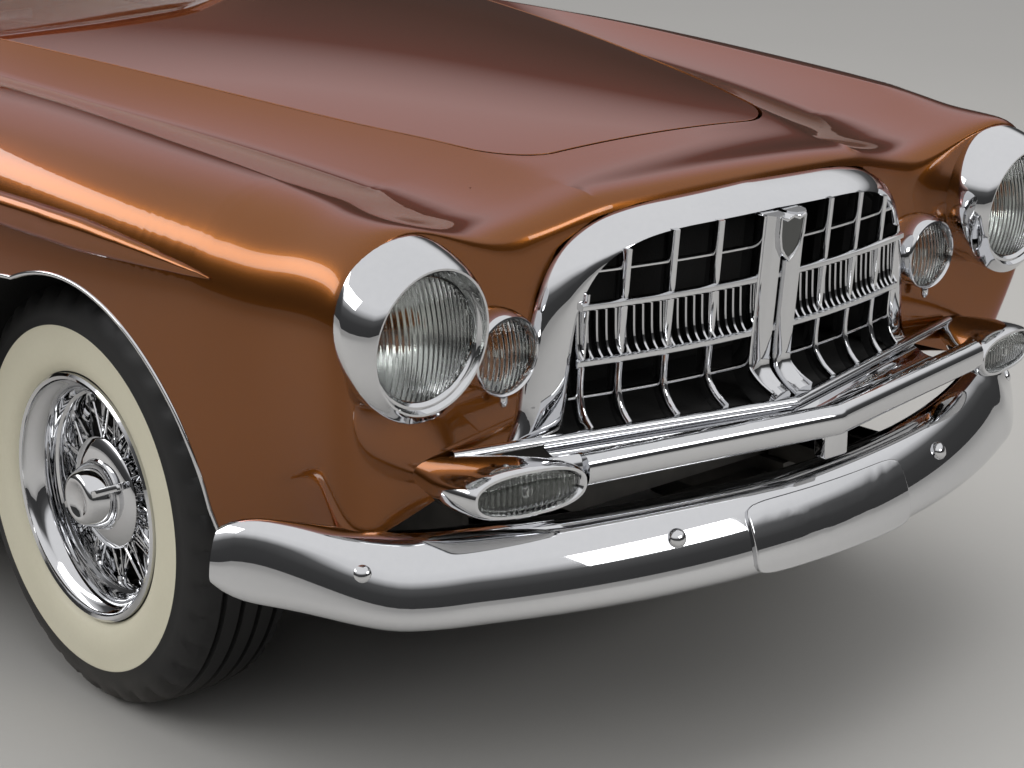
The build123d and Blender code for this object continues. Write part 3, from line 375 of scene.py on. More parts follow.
def lathe(profile, axis="X", steps=64):
    """A turned shape about an axis through the origin, from (distance along the axis, radius) points."""
    bm = bmesh.new()
    along, out = {"X": ((1, 0, 0), (0, 0, 1)), "Y": ((0, 1, 0), (1, 0, 0)), "Z": ((0, 0, 1), (1, 0, 0))}[axis]
    verts = [bm.verts.new(Vector(along) * a + Vector(out) * r) for a, r in profile]
    edges = [bm.edges.new(pair) for pair in zip(verts, verts[1:])]
    bmesh.ops.spin(bm, geom=verts + edges, cent=(0, 0, 0), axis=along, angle=2 * pi, steps=steps, use_merge=True)
    bmesh.ops.remove_doubles(bm, verts=bm.verts, dist=1e-6)
    bmesh.ops.recalc_face_normals(bm, faces=bm.faces)
    return bm


def block(x, y, z, bevel=0.0, segments=3):
    """A block between pairs of limits with rounded edges."""
    bm = bmesh.new()
    bmesh.ops.create_cube(bm, size=1)
    bmesh.ops.scale(bm, vec=(x[1] - x[0], y[1] - y[0], z[1] - z[0]), verts=bm.verts)
    bmesh.ops.translate(bm, vec=((x[0] + x[1]) / 2, (y[0] + y[1]) / 2, (z[0] + z[1]) / 2), verts=bm.verts)
    return rounded(bm, bevel, segments) if bevel else bm


def rod(start, end, radius, sides=12, end_radius=None):
    """A round bar between two points."""
    start, end = Vector(start), Vector(end)
    along = end - start
    bm = bmesh.new()
    bmesh.ops.create_cone(
        bm, cap_ends=True, segments=sides, radius1=radius, radius2=end_radius or radius, depth=along.length
    )
    turn = along.to_track_quat("Z", "Y").to_matrix()
    return moved(bm, (start + end) / 2, turn)


def bar_along(path, half_width, half_depth, across, sides=12, squareness=2.6, taper=None):
    """A bar with a rounded section along a line of points, its width turned to the direction across."""
    path = [Vector(p) for p in path]
    across = Vector(across)
    rings = []
    for i, point in enumerate(path):
        along = (path[min(i + 1, len(path) - 1)] - path[max(i - 1, 0)]).normalized()
        wide = (across - along * across.dot(along)).normalized()
        deep = along.cross(wide)
        size = taper(i / (len(path) - 1)) if taper else 1.0
        ring = []
        for k in range(sides):
            angle = 2 * pi * k / sides
            c, s = cos(angle), sin(angle)
            fit = (abs(c) ** squareness + abs(s) ** squareness) ** (-1 / squareness)
            ring.append(point + wide * (half_width * size * c * fit) + deep * (half_depth * size * s * fit))
        rings.append(ring)
    return tube(rings)


def set_up(thing, **values):
    """The thing with those properties set."""
    for key, value in values.items():
        setattr(thing, key, value)
    return thing


def placed(name, data):
    """A new object of that name in the scene."""
    obj = bpy.data.objects.new(name, data)
    bpy.context.scene.collection.objects.link(obj)
    return obj


def mesh_object(name, bm):
    """A new object in the scene from a bmesh, which is freed."""
    mesh = bpy.data.meshes.new(name)
    bm.to_mesh(mesh)
    bm.free()
    return placed(name, mesh)


def piece(name, bm, material, body="body", replaces=(), outward=None, wall=0.0, bevel=0.0, sharp=38):
    """A finished object from a bmesh, with the given finish.

    outward turns an open skin's faces that way before it gets its wall. It is a direction, or gives one for a face's
    middle.
    """
    bmesh.ops.remove_doubles(bm, verts=bm.verts, dist=2e-6)
    bmesh.ops.recalc_face_normals(bm, faces=bm.faces)
    if outward:
        toward = outward if callable(outward) else lambda _: Vector(outward)
        if sum(face.normal.dot(toward(face.calc_center_median())) for face in bm.faces) < 0:
            bmesh.ops.reverse_faces(bm, faces=bm.faces)
    for face in bm.faces:
        face.smooth = True
    obj = mesh_object(name, bm)
    obj.data.set_sharp_from_angle(angle=radians(sharp))
    obj.data.materials.append(material)
    if wall:
        set_up(obj.modifiers.new("Wall", "SOLIDIFY"), thickness=wall, offset=-1)
    if bevel:
        set_up(obj.modifiers.new("Rounding", "BEVEL"), width=bevel, segments=2, limit_method="ANGLE",
               angle_limit=radians(sharp), use_clamp_overlap=True, harden_normals=True)
    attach(obj, body)
    if replaces:
        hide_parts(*replaces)
    return obj


# Materials
def add(tree, kind, **values):
    """A node with its properties set and its sockets set or linked by name or number."""
    node = tree.nodes.new(kind if kind.startswith("NodeGroup") else "ShaderNode" + kind)
    for key, value in values.items():
        if key.startswith("in_"):
            name = key[3:]
            socket = node.inputs[int(name)] if name.isdigit() else node.inputs[name.replace("_", " ")]
            if isinstance(value, bpy.types.NodeSocket):
                tree.links.new(value, socket)
            else:
                socket.default_value = value
        else:
            setattr(node, key, value)
    return node


def object_place(tree):
    return add(tree, "TexCoord").outputs["Object"]


def mottle_nodes(tree, given):
    """Slow and fine unevenness of a finish, from 0 to 1."""
    where = object_place(tree)
    noises = []
    for label in ("Patch Size", "Fine Size"):
        scale = add(tree, "Math", operation="DIVIDE", in_0=1.0, in_1=given[label]).outputs[0]
        noises.append(add(tree, "TexNoise", in_Vector=where, in_Scale=scale, in_Detail=3.0).outputs[0])
    return add(tree, "Mix", data_type="FLOAT", in_0=given["Fine Share"], in_2=noises[0], in_3=noises[1])


def dust_nodes(tree, given):
    """How much pale dust lies on a surface: more near the road, and in patches."""
    where = object_place(tree)
    height = add(tree, "SeparateXYZ", in_0=where).outputs["Z"]
    low = add(tree, "MapRange", in_0=height, in_1=0.0, in_2=given["Reach"], in_3=1.0, in_4=0.0).outputs[0]
    noise = add(tree, "TexNoise", in_Vector=where, in_Scale=22.0, in_Detail=6.0).outputs[0]
    speckle = add(tree, "Math", operation="MULTIPLY", in_0=low, in_1=noise).outputs[0]
    return add(tree, "Math", operation="MULTIPLY", in_0=speckle, in_1=given["Amount"])


def grain_nodes(tree, given):
    """Leather grain or cast skin as a height."""
    where = object_place(tree)
    scale = add(tree, "Math", operation="DIVIDE", in_0=1.0, in_1=given["Size"]).outputs[0]
    cells = add(tree, "TexVoronoi", in_Vector=where, in_Scale=scale).outputs[0]
    noise = add(tree, "TexNoise", in_Vector=where, in_Scale=scale, in_Detail=2.0).outputs[0]
    return add(tree, "Mix", data_type="FLOAT", in_0=given["Softness"], in_2=cells, in_3=noise)


# Shared groups: what builds each, its inputs and its output
GROUPS = {
    "Mottle": (mottle_nodes, ("Patch Size", "Fine Size", "Fine Share"), "Mottle"),
    "Road Dust": (dust_nodes, ("Reach", "Amount"), "Dust"),
    "Grain": (grain_nodes, ("Size", "Softness"), "Height"),
}


def use_group(tree, name, *values):
    """A shared group, made when it is first asked for, placed in a material with its own values."""
    if name not in bpy.data.node_groups:
        build, inputs, output = GROUPS[name]
        group = bpy.data.node_groups.new(name, "ShaderNodeTree")
        for label in inputs:
            group.interface.new_socket(name=label, in_out="INPUT", socket_type="NodeSocketFloat")
        group.interface.new_socket(name=output, in_out="OUTPUT", socket_type="NodeSocketFloat")
        result = build(group, add(group, "NodeGroupInput").outputs)
        add(group, "NodeGroupOutput", in_0=result.outputs[0])
    node = add(tree, "Group", node_tree=bpy.data.node_groups[name])
    for socket, value in zip(node.inputs, values):
        socket.default_value = value
    return node.outputs[0]


DUST_COLOUR = (0.3, 0.27, 0.23, 1)
DUST_ROUGHNESS = 0.8


def finish(name, dark, light, rough=(0.4, 0.5), patch=0.2, fine=0.01, fine_share=0.4, dust=0.0, dust_reach=0.5,
           grain=0.0, grain_size=0.003, grain_softness=0.5, **sockets):
    """A finish whose colour and roughness vary between two values, with optional dust and grain."""
    if name in bpy.data.materials:
        return bpy.data.materials[name]
    material = bpy.data.materials.new(name)
    material.use_nodes = True
    tree = material.node_tree
    shader = tree.nodes["Principled BSDF"]
    mottle = use_group(tree, "Mottle", patch, fine, fine_share)
    colour = add(tree, "Mix", data_type="RGBA", in_0=mottle, in_6=(*dark, 1), in_7=(*light, 1)).outputs[2]
    roughness = add(tree, "MapRange", in_0=mottle, in_3=rough[0], in_4=rough[1]).outputs[0]
    if dust:
        cover = use_group(tree, "Road Dust", dust_reach, dust)
        colour = add(tree, "Mix", data_type="RGBA", in_0=cover, in_6=colour, in_7=DUST_COLOUR).outputs[2]
        roughness = add(tree, "Mix", data_type="FLOAT", in_0=cover, in_2=roughness, in_3=DUST_ROUGHNESS).outputs[0]
    tree.links.new(colour, shader.inputs["Base Color"])
    tree.links.new(roughness, shader.inputs["Roughness"])
    for key, value in sockets.items():
        shader.inputs[key.replace("_", " ")].default_value = value
    if grain:
        height = use_group(tree, "Grain", grain_size, grain_softness)
        relief = add(tree, "Bump", in_Strength=grain, in_Distance=0.001, in_Height=height)
        tree.links.new(relief.outputs[0], shader.inputs["Normal"])
    return material


chrome = partial(
    finish, "Bright chrome", (0.62, 0.63, 0.65), (0.76, 0.76, 0.77), rough=(0.015, 0.05), Metallic=1.0, patch=0.35,
    fine=0.012, fine_share=0.25, dust=0.12, dust_reach=0.35,
)
satin_chrome = partial(
    finish, "Satin chrome", (0.5, 0.5, 0.51), (0.64, 0.64, 0.64), rough=(0.16, 0.3), Metallic=1.0, patch=0.1,
    fine=0.004,
)
black_paint = partial(
    finish, "Black paint", (0.01, 0.01, 0.011), (0.024, 0.023, 0.022), rough=(0.42, 0.62), patch=0.25, fine=0.008,
    dust=0.5, dust_reach=0.6,
)
dark_liner = partial(
    finish, "Dark liner", (0.006, 0.006, 0.006), (0.016, 0.015, 0.014), rough=(0.75, 0.95), patch=0.1, fine=0.004,
    dust=0.2, grain=0.5, grain_size=0.004,
)
rubber = partial(
    finish, "Tyre rubber", (0.006, 0.006, 0.007), (0.013, 0.0125, 0.012), rough=(0.46, 0.62), patch=0.08, fine=0.002,
    dust=0.35, dust_reach=0.12, grain=0.18, grain_size=0.0016,
)
whitewall = partial(
    finish, "Whitewall rubber", (0.7, 0.66, 0.5), (0.8, 0.76, 0.6), rough=(0.42, 0.55), patch=0.12, fine=0.006,
    dust=0.14, dust_reach=0.3, grain=0.06, grain_size=0.002,
)
carpet = partial(
    finish, "Carpet", (0.09, 0.045, 0.025), (0.17, 0.09, 0.05), rough=(0.85, 1.0), patch=0.15, fine=0.002, grain=0.9,
    grain_size=0.002, grain_softness=0.8, Sheen_Weight=0.4, Sheen_Roughness=0.5,
)
headliner = partial(
    finish, "Headliner cloth", (0.5, 0.45, 0.37), (0.62, 0.57, 0.48), rough=(0.8, 0.95), patch=0.3, fine=0.003,
    grain=0.5, grain_size=0.0016, grain_softness=0.7,
)
steering_plastic = partial(
    finish, "Ivory plastic", (0.66, 0.58, 0.42), (0.76, 0.69, 0.53), rough=(0.16, 0.26), patch=0.06, fine=0.004,
    Coat_Weight=0.5, Coat_Roughness=0.08,
)
cast_iron = partial(
    finish, "Cast iron", (0.045, 0.045, 0.043), (0.11, 0.1, 0.09), rough=(0.5, 0.75), Metallic=0.5, patch=0.12,
    fine=0.005, dust=0.6, dust_reach=0.8, grain=0.5, grain_size=0.004,
)
exhaust_steel = partial(
    finish, "Exhaust steel", (0.16, 0.11, 0.075), (0.36, 0.33, 0.3), rough=(0.35, 0.6), Metallic=0.9, patch=0.15,
    dust=0.7,
)
glass = partial(
    finish, "Window glass", (0.96 * 0.93, 0.96 * 0.97, 0.96 * 0.95), (0.93, 0.97, 0.95), rough=(0.0, 0.02), patch=0.5,
    fine=0.02, fine_share=0.2, Transmission_Weight=1.0, IOR=1.45,
)
red_lens = partial(
    finish, "Red lens", (0.3, 0.006, 0.006), (0.55, 0.016, 0.012), rough=(0.05, 0.12), patch=0.03, fine=0.004,
    Transmission_Weight=0.25, Coat_Weight=0.6, Coat_Roughness=0.03,
)
dark_enamel = partial(
    finish, "Dark enamel", (0.012, 0.014, 0.013), (0.03, 0.033, 0.03), rough=(0.12, 0.22), patch=0.02, fine=0.002,
    Coat_Weight=0.8, Coat_Roughness=0.03,
)


def paint():
    paint_and_painted_shade = bpy.context.scene.hardtop_paint
    # The paint mixes its own colour (face) at random with a painted shade copy of it (shade), as fine darker flakes and
    # broad darker patches.
    return finish(
        "Copper paint with painted shade", paint_and_painted_shade.shade, paint_and_painted_shade.face, rough=(0.2, 0.29), Metallic=0.88, patch=0.6, fine=0.0012,
        fine_share=0.55, dust=0.1, dust_reach=0.3, Coat_Weight=1.0, Coat_Roughness=0.015, Coat_IOR=1.42,
        Specular_Tint=(0.7, 0.3, 0.07, 1),
    )


def leather():
    light = bpy.context.scene.hardtop_cabin.leather
    return finish(
        "Cabin leather", [0.78 * c for c in light], light, rough=(0.38, 0.52), patch=0.18, fine=0.006, grain=0.35,
        grain_size=0.0035, grain_softness=0.35,
    )


def lamp_glass():
    """Clear pressed glass with upright flutes."""
    if "Fluted lamp glass" in bpy.data.materials:
        return bpy.data.materials["Fluted lamp glass"]
    material = finish(
        "Fluted lamp glass", (0.86, 0.9, 0.87), (0.96, 0.98, 0.95), rough=(0.02, 0.02), patch=0.05, fine=0.006,
        fine_share=0.5, Transmission_Weight=1.0, IOR=1.45,
    )
    tree = material.node_tree
    flutes = add(tree, "TexWave", wave_type="BANDS", bands_direction="X", in_Vector=object_place(tree), in_Scale=36.0,
                 in_Distortion=0.0)
    uneven = tree.nodes["Group"].outputs[0]
    height = add(tree, "Math", operation="MULTIPLY_ADD", in_0=uneven, in_1=0.25, in_2=flutes.outputs[1])
    relief = add(tree, "Bump", in_Strength=0.7, in_Distance=0.0016, in_Height=height.outputs[0])
    tree.links.new(relief.outputs[0], tree.nodes["Principled BSDF"].inputs["Normal"])
    return material


# Body panels
def arch_or_low(wheel_arch, y):
    return max(arch_height(wheel_arch, y), row_at(SIDE, y)[5])


def frame_share(kind, share):
    """Which part of the grille frame's outline a column of the nose ends on."""
    low, high = {"top": (0.0, 0.43), "shoulder": (0.43, 0.56), "fender": (0.56, 0.64), "side": (0.64, 1.0)}[kind]
    return low + (high - low) * share


def nose_rounding(start, share, turn, drift=Vector()):
    """A point on the way round the nose, from the panel's end at start to the grille's frame, turn going 0 to 1.

    The fender stays full up to the headlamp's bezel, which sits on its end. The panel comes in with the slope drift,
    a step sideways for each metre forwards.
    """
    end_x, end_z = along_line(FRAME_OUTSIDE, share)
    beside_lamp = smooth_step(abs(start.x), 0.6, 0.68)
    height = start.z - LAMP_HEIGHT
    end = Vector((end_x, -2.455 + 0.155 * end_x**2, end_z))
    fullness = NOSE_FULLNESS + LAMP_FULLNESS * beside_lamp / (1 + (height / 0.28) ** 4)
    a = cos(turn * pi / 2) ** (2 / fullness)
    b = sin(turn * pi / 2) ** (2 / fullness)
    reach = 0.0
    if turn < 0.76:
        reach = LAMP_REACH * beside_lamp / (1 + (height / 0.19) ** 4) * sin(pi * min(1.0, turn * 1.3)) ** 0.8
    y = start.y + (end.y - start.y) * b - reach
    point = Vector((end.x + (start.x - end.x) * a, y, end.z + (start.z - end.z) * a))
    return point + drift * (start.y - end.y) * b * (1 - b) ** 2


def nose_turns():
    return [0.035, 0.075, 0.12] + spaced(0.17, 0.83, 13) + [0.88, 0.925, 0.965, 1.0]


def fender_stations():
    """Stations from the door to where the nose begins, close together at the feet of the wheel arch."""
    corner = HOOD_FRONT + HOOD_CORNER - SHUT_GAP
    over_wheel = [y for y in reversed(arch_stations(FRONT_ARCH, 44)) if y > corner]
    behind = spaced(DOOR_FRONT - SHUT_GAP, arch_limits(FRONT_ARCH)[1] + 0.03, 14)
    return behind + over_wheel + spaced(corner, NOSE_START, 12)


def front_body():
    """Both front fenders and the nose in one smooth skin, open for bonnet, wheels and grille."""
    stations = fender_stations()
    columns = [("shoulder", t) for t in spaced(0, 1, 8)] + [("fender", t) for t in (*spaced(0, 1, 9)[1:-1], 0.97, 1)]
    columns += [("side", t) for t in (0.01, *spaced(0, 1, 30)[1:])]
    lines = {}
    for y in stations:
        shoulder, fender = shoulder_lines(FRONT_TOP, y)
        side = side_line(y, arch_or_low(FRONT_ARCH, y))
        lines[y] = [*spread(shoulder, 8), *held(spread(fender, 9), True)[1:], *held(spread(side, 30), False)[1:]]
    rows = stations + nose_turns()
    drifts = [(b - a) / (stations[-2] - stations[-1]) for a, b in zip(lines[stations[-2]], lines[stations[-1]])]

    def place(column, row):
        k = columns.index(column)
        if row < 0:
            x, z = lines[row][k]
            return Vector((x, row, z))
        x, z = lines[stations[-1]][k]
        drift = Vector((drifts[k].x, 0, drifts[k].y))
        return nose_rounding(Vector((x, stations[-1], z)), frame_share(*column), row, drift)

    wing = surface(columns, rows, place)
    halves = spaced(0, 0.68, 9)[:-1] + corner_shares()
    corner_rows = len([y for y in stations if y <= HOOD_FRONT + HOOD_CORNER - SHUT_GAP])

    def hood_edge(share):
        return hood_front(share) - SHUT_GAP

    def top_place(share, row):
        if isinstance(row, int):
            y = hood_edge(share) + (NOSE_START - hood_edge(share)) * row / (corner_rows - 1)
            return deck_point(FRONT_TOP, y, share)
        start = deck_point(FRONT_TOP, NOSE_START, share)
        drift = (start - deck_point(FRONT_TOP, NOSE_START + 0.01, share)) / 0.01
        return nose_rounding(start, frame_share("top", share), row, Vector((drift.x, 0, drift.z)))

    top = surface(halves, [*range(corner_rows), *nose_turns()], top_place)
    half = joined(wing, top)
    bmesh.ops.remove_doubles(half, verts=half.verts, dist=1e-5)
    whole = both_sides(half)
    bmesh.ops.remove_doubles(whole, verts=whole.verts, dist=1e-5)
    for step in range(24):
        soften = [v for v in whole.verts if v.co.y < -2.17 - 0.006 * step and not v.is_boundary]
        bmesh.ops.smooth_vert(whole, verts=soften, factor=0.5, use_axis_x=True, use_axis_y=True, use_axis_z=True)
    piece("front_body", whole, paint(), replaces=("fender_front_left", "fender_front_right", "nose_panel"),
          outward=lambda c: Vector((c.x, c.y + 1.5, c.z - 0.6)), wall=0.008, bevel=0.002)


def corner_shares():
    """Shares of the bonnet's half width that follow its rounded corner closely."""
    return [1 - 0.32 * (1 - sin(angle)) for angle in spaced(0, pi / 2, 10)]


def hood_front(share):
    """The bonnet's front edge, rounded at its corners, share going 0 to 1 from the middle to the side."""
    width = row_at(FRONT_TOP, HOOD_FRONT + HOOD_CORNER / 2)[1]
    inset = (1 - share) * width
    if inset >= HOOD_CORNER:
        return HOOD_FRONT
    return HOOD_FRONT + HOOD_CORNER - sqrt(HOOD_CORNER**2 - (HOOD_CORNER - inset) ** 2)


def hood():
    corner = corner_shares()[1:]
    shares = [-share for share in reversed(corner)] + spaced(-0.68, 0.68, 17) + corner

    def place(share, row):
        point = deck_point(FRONT_TOP, HOOD_REAR + (hood_front(abs(share)) - HOOD_REAR) * row, share)
        point.x -= SHUT_GAP * share
        return point

    piece("bonnet", surface(shares, spaced(0, 1, 50), place), paint(), body="hood", replaces=("hood",), outward=UP,
          wall=0.012, bevel=0.002)


def cowl():
    """The panel ahead of the windshield with the strips beside the bonnet's rear corners."""
    half = LEDGE_X - 0.0073

    def place(x, y):
        deck_z = row_at(FRONT_TOP, y)[0]
        radius = (half**2 + (deck_z - BELT_Z) ** 2) / (2 * (deck_z - BELT_Z))
        return Vector((x, y, BELT_Z + sqrt(radius**2 - x**2) - (radius - deck_z + BELT_Z)))

    start = HOOD_REAR + SHUT_GAP + 0.004
    panel = surface(spaced(-half, half, 37), spaced(start, COWL_REAR, 7), place)

    def strip_place(share, y):
        edge = row_at(FRONT_TOP, y)[1]
        x = edge + (half - edge) * share
        shoulder, fender = shoulder_lines(FRONT_TOP, y)
        line = [*shoulder, *fender[1:]]
        for a, b in zip(line, line[1:]):
            if a.x <= x <= b.x + 1e-9:
                return Vector((x, y, a.lerp(b, (x - a.x) / max(b.x - a.x, 1e-9)).y))
        return Vector((x, y, line[-1].y))

    strip = surface(spaced(0, 1, 7), spaced(DOOR_FRONT - SHUT_GAP + 0.001, start, 5), strip_place)
    piece("cowl", joined(panel, both_sides(strip)), paint(), replaces=("cowl_panel",), outward=UP, wall=0.01,
          bevel=0.0015)


def door_ring(y):
    _, _, side_x, _, _, low_z = row_at(SIDE, y)
    inside = side_x - 0.104
    inner = [(inside, low_z), (inside, low_z + 0.3), (inside, BELT_Z - 0.07), (LEDGE_X, BELT_Z - 0.03),
             (LEDGE_X, BELT_Z)]
    return [Vector((x, y, z)) for x, z in [*held(spread(side_line(y), 26), False), *inner]]


def door(side):
    bm = on_side(side, tube([door_ring(y) for y in spaced(DOOR_FRONT, DOOR_REAR, 30)]))
    piece(f"door_skin_{side}", bm, paint(), body=f"door_{side}", replaces=(f"door_{side}",), bevel=0.003, sharp=30)


def quarter(side):
    """The rear fender with its shoulder and the ledge under the side window."""
    middle = REAR_WINDOW_BASE - 0.03
    foot_front, foot_rear = arch_limits(REAR_ARCH)
    stations = spaced(DOOR_REAR + SHUT_GAP, foot_front - 0.03, 12) + arch_stations(REAR_ARCH, 44)
    stations += spaced(foot_rear + 0.03, TAIL_Y - 0.02, 22)

    def line_at(y, has_ledge):
        side_points = held(spread(side_line(y, arch_or_low(REAR_ARCH, y)), 30), False)
        if has_ledge:
            top = spread([(LEDGE_X, BELT_Z), side_points[0]], 15)
        else:
            shoulder, fender = shoulder_lines(REAR_TOP, y)
            top = [*spread(shoulder, 7), *spread(fender, 9)[1:]]
        return [*held(top, True)[:-1], *side_points]

    lines = {y: line_at(y, y < middle) for y in stations}
    lines[middle - 0.0005] = line_at(middle, True)
    lines[middle] = line_at(middle, False)
    behind = [y for y in sorted(lines) if y >= middle]
    skins = [
        surface(range(len(lines[middle])), rows, lambda k, y: Vector((lines[y][k][0], y, lines[y][k][1])))
        for rows in ([y for y in sorted(lines) if y < middle], behind)
    ]
    gutter = surface((0, 1, 2), [y for y in behind if y > LID_FRONT], lambda k, y: Vector(
        (lines[y][0][0] + 0.001 * k, y, lines[y][0][1] - 0.04 * k)))
    bm = joined(*skins, gutter)
    bmesh.ops.remove_doubles(bm, verts=bm.verts, dist=0.0008)
    piece(f"quarter_skin_{side}", on_side(side, bm), paint(), replaces=(f"quarter_{side}",),
          outward=(1 if side == "left" else -1, 0, 0.8), wall=0.008, bevel=0.002)


def tail():
    """The upright tail between the rear fenders, open for the trunk lid, with a rounded turn from the sides."""
    start, low, inside = TAIL_Y - 0.02, 0.39, LID_HALF + 0.007
    side = spread(side_line(start), 30)
    outline = [*shoulder_lines(REAR_TOP, start)[1], *side[1:]]

    def place(share, turn):
        outer = along_line(outline, share)
        inner = Vector((inside, 0.772 + (low - 0.772) * share))
        x, z = inner + (outer - inner) * cos(turn * pi / 2)
        return Vector((x, start + 0.02 * min(1, sin(turn * pi / 2) * 1.6), z))

    wing = surface(spaced(0, 1, 34), spaced(0, 1, 14), place)
    lower = surface(spaced(-inside, inside, 17), spaced(low, LID_LOW - 0.01, 6), lambda x, z: Vector((x, TAIL_Y, z)))
    piece("tail_skin", joined(both_sides(wing), lower), paint(), replaces=("tail_panel",), outward=(0, 1, 0),
          wall=0.008, bevel=0.0015)


def rear_deck():
    bm = surface(spaced(-1, 1, 31), spaced(REAR_WINDOW_BASE - 0.03, LID_FRONT - 0.007, 4),
                 lambda share, y: deck_point(REAR_TOP, y, share))
    piece("rear_deck_skin", bm, paint(), replaces=("rear_deck",), outward=UP, wall=0.012, bevel=0.002)


def lid_profile(x):
    """(y, z) points of the trunk lid from its hinge edge to its handle edge."""
    fall = 0.018 * (x / LID_HALF) ** 2
    points = [(LID_FRONT, 1.014 - fall / 2), (REAR_AXLE + 0.555, 0.948 - fall), (REAR_AXLE + 1.105, 0.745 - fall / 2),
              (REAR_AXLE + 1.14, LID_LOW)]
    line = []
    for a, b, bow in zip(points, points[1:], (0.01, 0.046, 0.004)):
        line += arc(a, b, bow, 14)[0 if not line else 1:]
    return smooth_corner(line, 30)


def smooth_corner(line, rounds):
    """A line of points whose corners are eased, its ends held."""
    line = spread(line, 60)
    for _ in range(rounds):
        line = [line[0]] + [a * 0.25 + b * 0.5 + c * 0.25 for a, b, c in zip(line, line[1:], line[2:])] + [line[-1]]
    return line


def trunk_lid():
    profiles = {x: lid_profile(x) for x in spaced(-LID_HALF, LID_HALF, 33)}
    bm = surface(list(profiles), range(60), lambda x, k: Vector((x, profiles[x][k].x, profiles[x][k].y)))
    piece("trunk_lid_skin", bm, paint(), body="trunk_lid", replaces=("trunk_lid",), outward=(0, 0.6, 1), wall=0.014,
          bevel=0.003)


def roof_point(share, along):
    """A point on the roof skin, share going -1 to 1 across it and along going 0 to 1 from front to back."""
    fall = 0.096 * abs(share) ** 3.2
    front = (ROOF_FRONT - 0.02 + fall * 0.3, 1.452 - fall * 0.75)
    rear = (ROOF_REAR + 0.06 - fall * 0.5, 1.43 - fall * 0.75)
    y, z = along_line(arc(front, rear, 0.062 - fall * 0.25, 41), along)
    return Vector((RAIL_TOP_X * share, y, z))


def pillar_skin(low, high, middle_bow):
    """A leaning post between two level outlines of four corners, bowed outwards in the middle."""
    return tube([
        [Vector(a).lerp(Vector(b), t) + Vector((middle_bow * 4 * t * (1 - t), 0, 0)) for a, b in zip(low, high)]
        for t in spaced(0, 1, 12)
    ])


def roof():
    """The roof with its front posts and broad rear quarters."""
    skin = surface(spaced(-1, 1, 41), spaced(0, 1, 41), roof_point)
    bmesh.ops.recalc_face_normals(skin, faces=skin.faces)
    if sum(face.normal.z for face in skin.faces) < 0:
        bmesh.ops.reverse_faces(skin, faces=skin.faces)
    bmesh.ops.solidify(skin, geom=skin.faces[:], thickness=0.022)
    outside = RAIL_TOP_X + 0.004
    posts = []
    # Columns: x and y of the four corners at the foot, its z, the same at the head, its z, and the bow
    for low, low_z, high, high_z, bow in (
        (((BELT_X - 0.062, COWL_REAR), (BELT_X - 0.028, COWL_REAR), (BELT_X - 0.026, COWL_REAR + 0.042),
          (BELT_X - 0.062, COWL_REAR + 0.042)), 0.975,
         ((outside - 0.048, ROOF_FRONT + 0.006), (outside - 0.006, ROOF_FRONT + 0.006),
          (outside - 0.004, ROOF_FRONT + 0.05), (outside - 0.048, ROOF_FRONT + 0.05)), 1.376, 0.008),
        (((BELT_X - 0.034, REAR_WINDOW_BASE - 0.33), (BELT_X + 0.012, REAR_WINDOW_BASE - 0.33),
          (BELT_X + 0.012, REAR_WINDOW_BASE - 0.1), (BELT_X - 0.02, REAR_WINDOW_BASE - 0.033)), 0.992,
         ((outside - 0.05, ROOF_REAR - 0.13), (outside - 0.004, ROOF_REAR - 0.13),
          (outside - 0.008, ROOF_REAR - 0.03), (outside - 0.05, ROOF_REAR + 0.012)), 1.378, 0.014),
    ):
        posts.append(pillar_skin([(*p, low_z) for p in low], [(*p, high_z) for p in high], bow))
    piece("roof_skin", joined(skin, both_sides(joined(*posts))), paint(), replaces=("roof",), bevel=0.004, sharp=30)


def sills():
    inside, low, end = 0.79, 0.19, REAR_AXLE - 0.44
    skin = surface(
        spaced(FRONT_AXLE + 0.465, end, 40), spaced(0, 1, 9),
        lambda y, t: Vector((inside + 0.104 * sin(t * pi / 2) ** 0.7, y, low + 0.052 * (1 - cos(t * pi / 2)))),
    )
    flange = block((inside - 0.014, inside), (-0.69, end), (low, 0.314), 0.002)
    piece("sill_skin", joined(both_sides(skin), both_sides(flange)), black_paint(), replaces=("sills",), wall=0.004)


# Stage
class HardtopPaint(bpy.types.PropertyGroup):
    """Colours of the car's paint: its own colour and a painted shade copy of it"""

    # face is the paint's own colour. The paint's mix does not follow which way a surface faces the light.
    face: bpy.props.FloatVectorProperty(
        name="Paint", description="Colour of the paint where it faces the light", subtype="COLOR", size=3,
        default=(0.29, 0.096, 0.016), min=0, max=1,
    )
    # shade is painted shade, the paint's colour as seen in shade. The paint's mottle mixes it in at random as darker
    # flakes and patches.
    shade: bpy.props.FloatVectorProperty(
        name="Paint in shade", description="Colour of the painted shade, mixed in as darker flakes and patches", subtype="COLOR", size=3,
        default=(0.15, 0.044, 0.006), min=0, max=1,
    )


class HardtopCabin(bpy.types.PropertyGroup):
    """Colours of the cabin"""

    leather: bpy.props.FloatVectorProperty(
        name="Leather", description="Colour of the seats and trims", subtype="COLOR", size=3,
        default=(0.62, 0.5, 0.36), min=0, max=1,
    )
    cushion_mesh: bpy.props.FloatProperty(
        name="Cushion mesh", description="Spacing of a cushion's mesh before it is filled", default=0.011, min=0.003,
        max=0.05, unit="LENGTH",
    )


class HardtopStudio(bpy.types.PropertyGroup):
    """Floor and lamps around the car"""

    floor: bpy.props.FloatVectorProperty(
        name="Floor", description="Colour of the floor", subtype="COLOR", size=3, default=(0.44, 0.43, 0.41), min=0,
        max=1,
    )
    power: bpy.props.FloatProperty(
        name="Lamps", description="Power of the large overhead lamp", default=150.0, min=0, unit="POWER",
    )


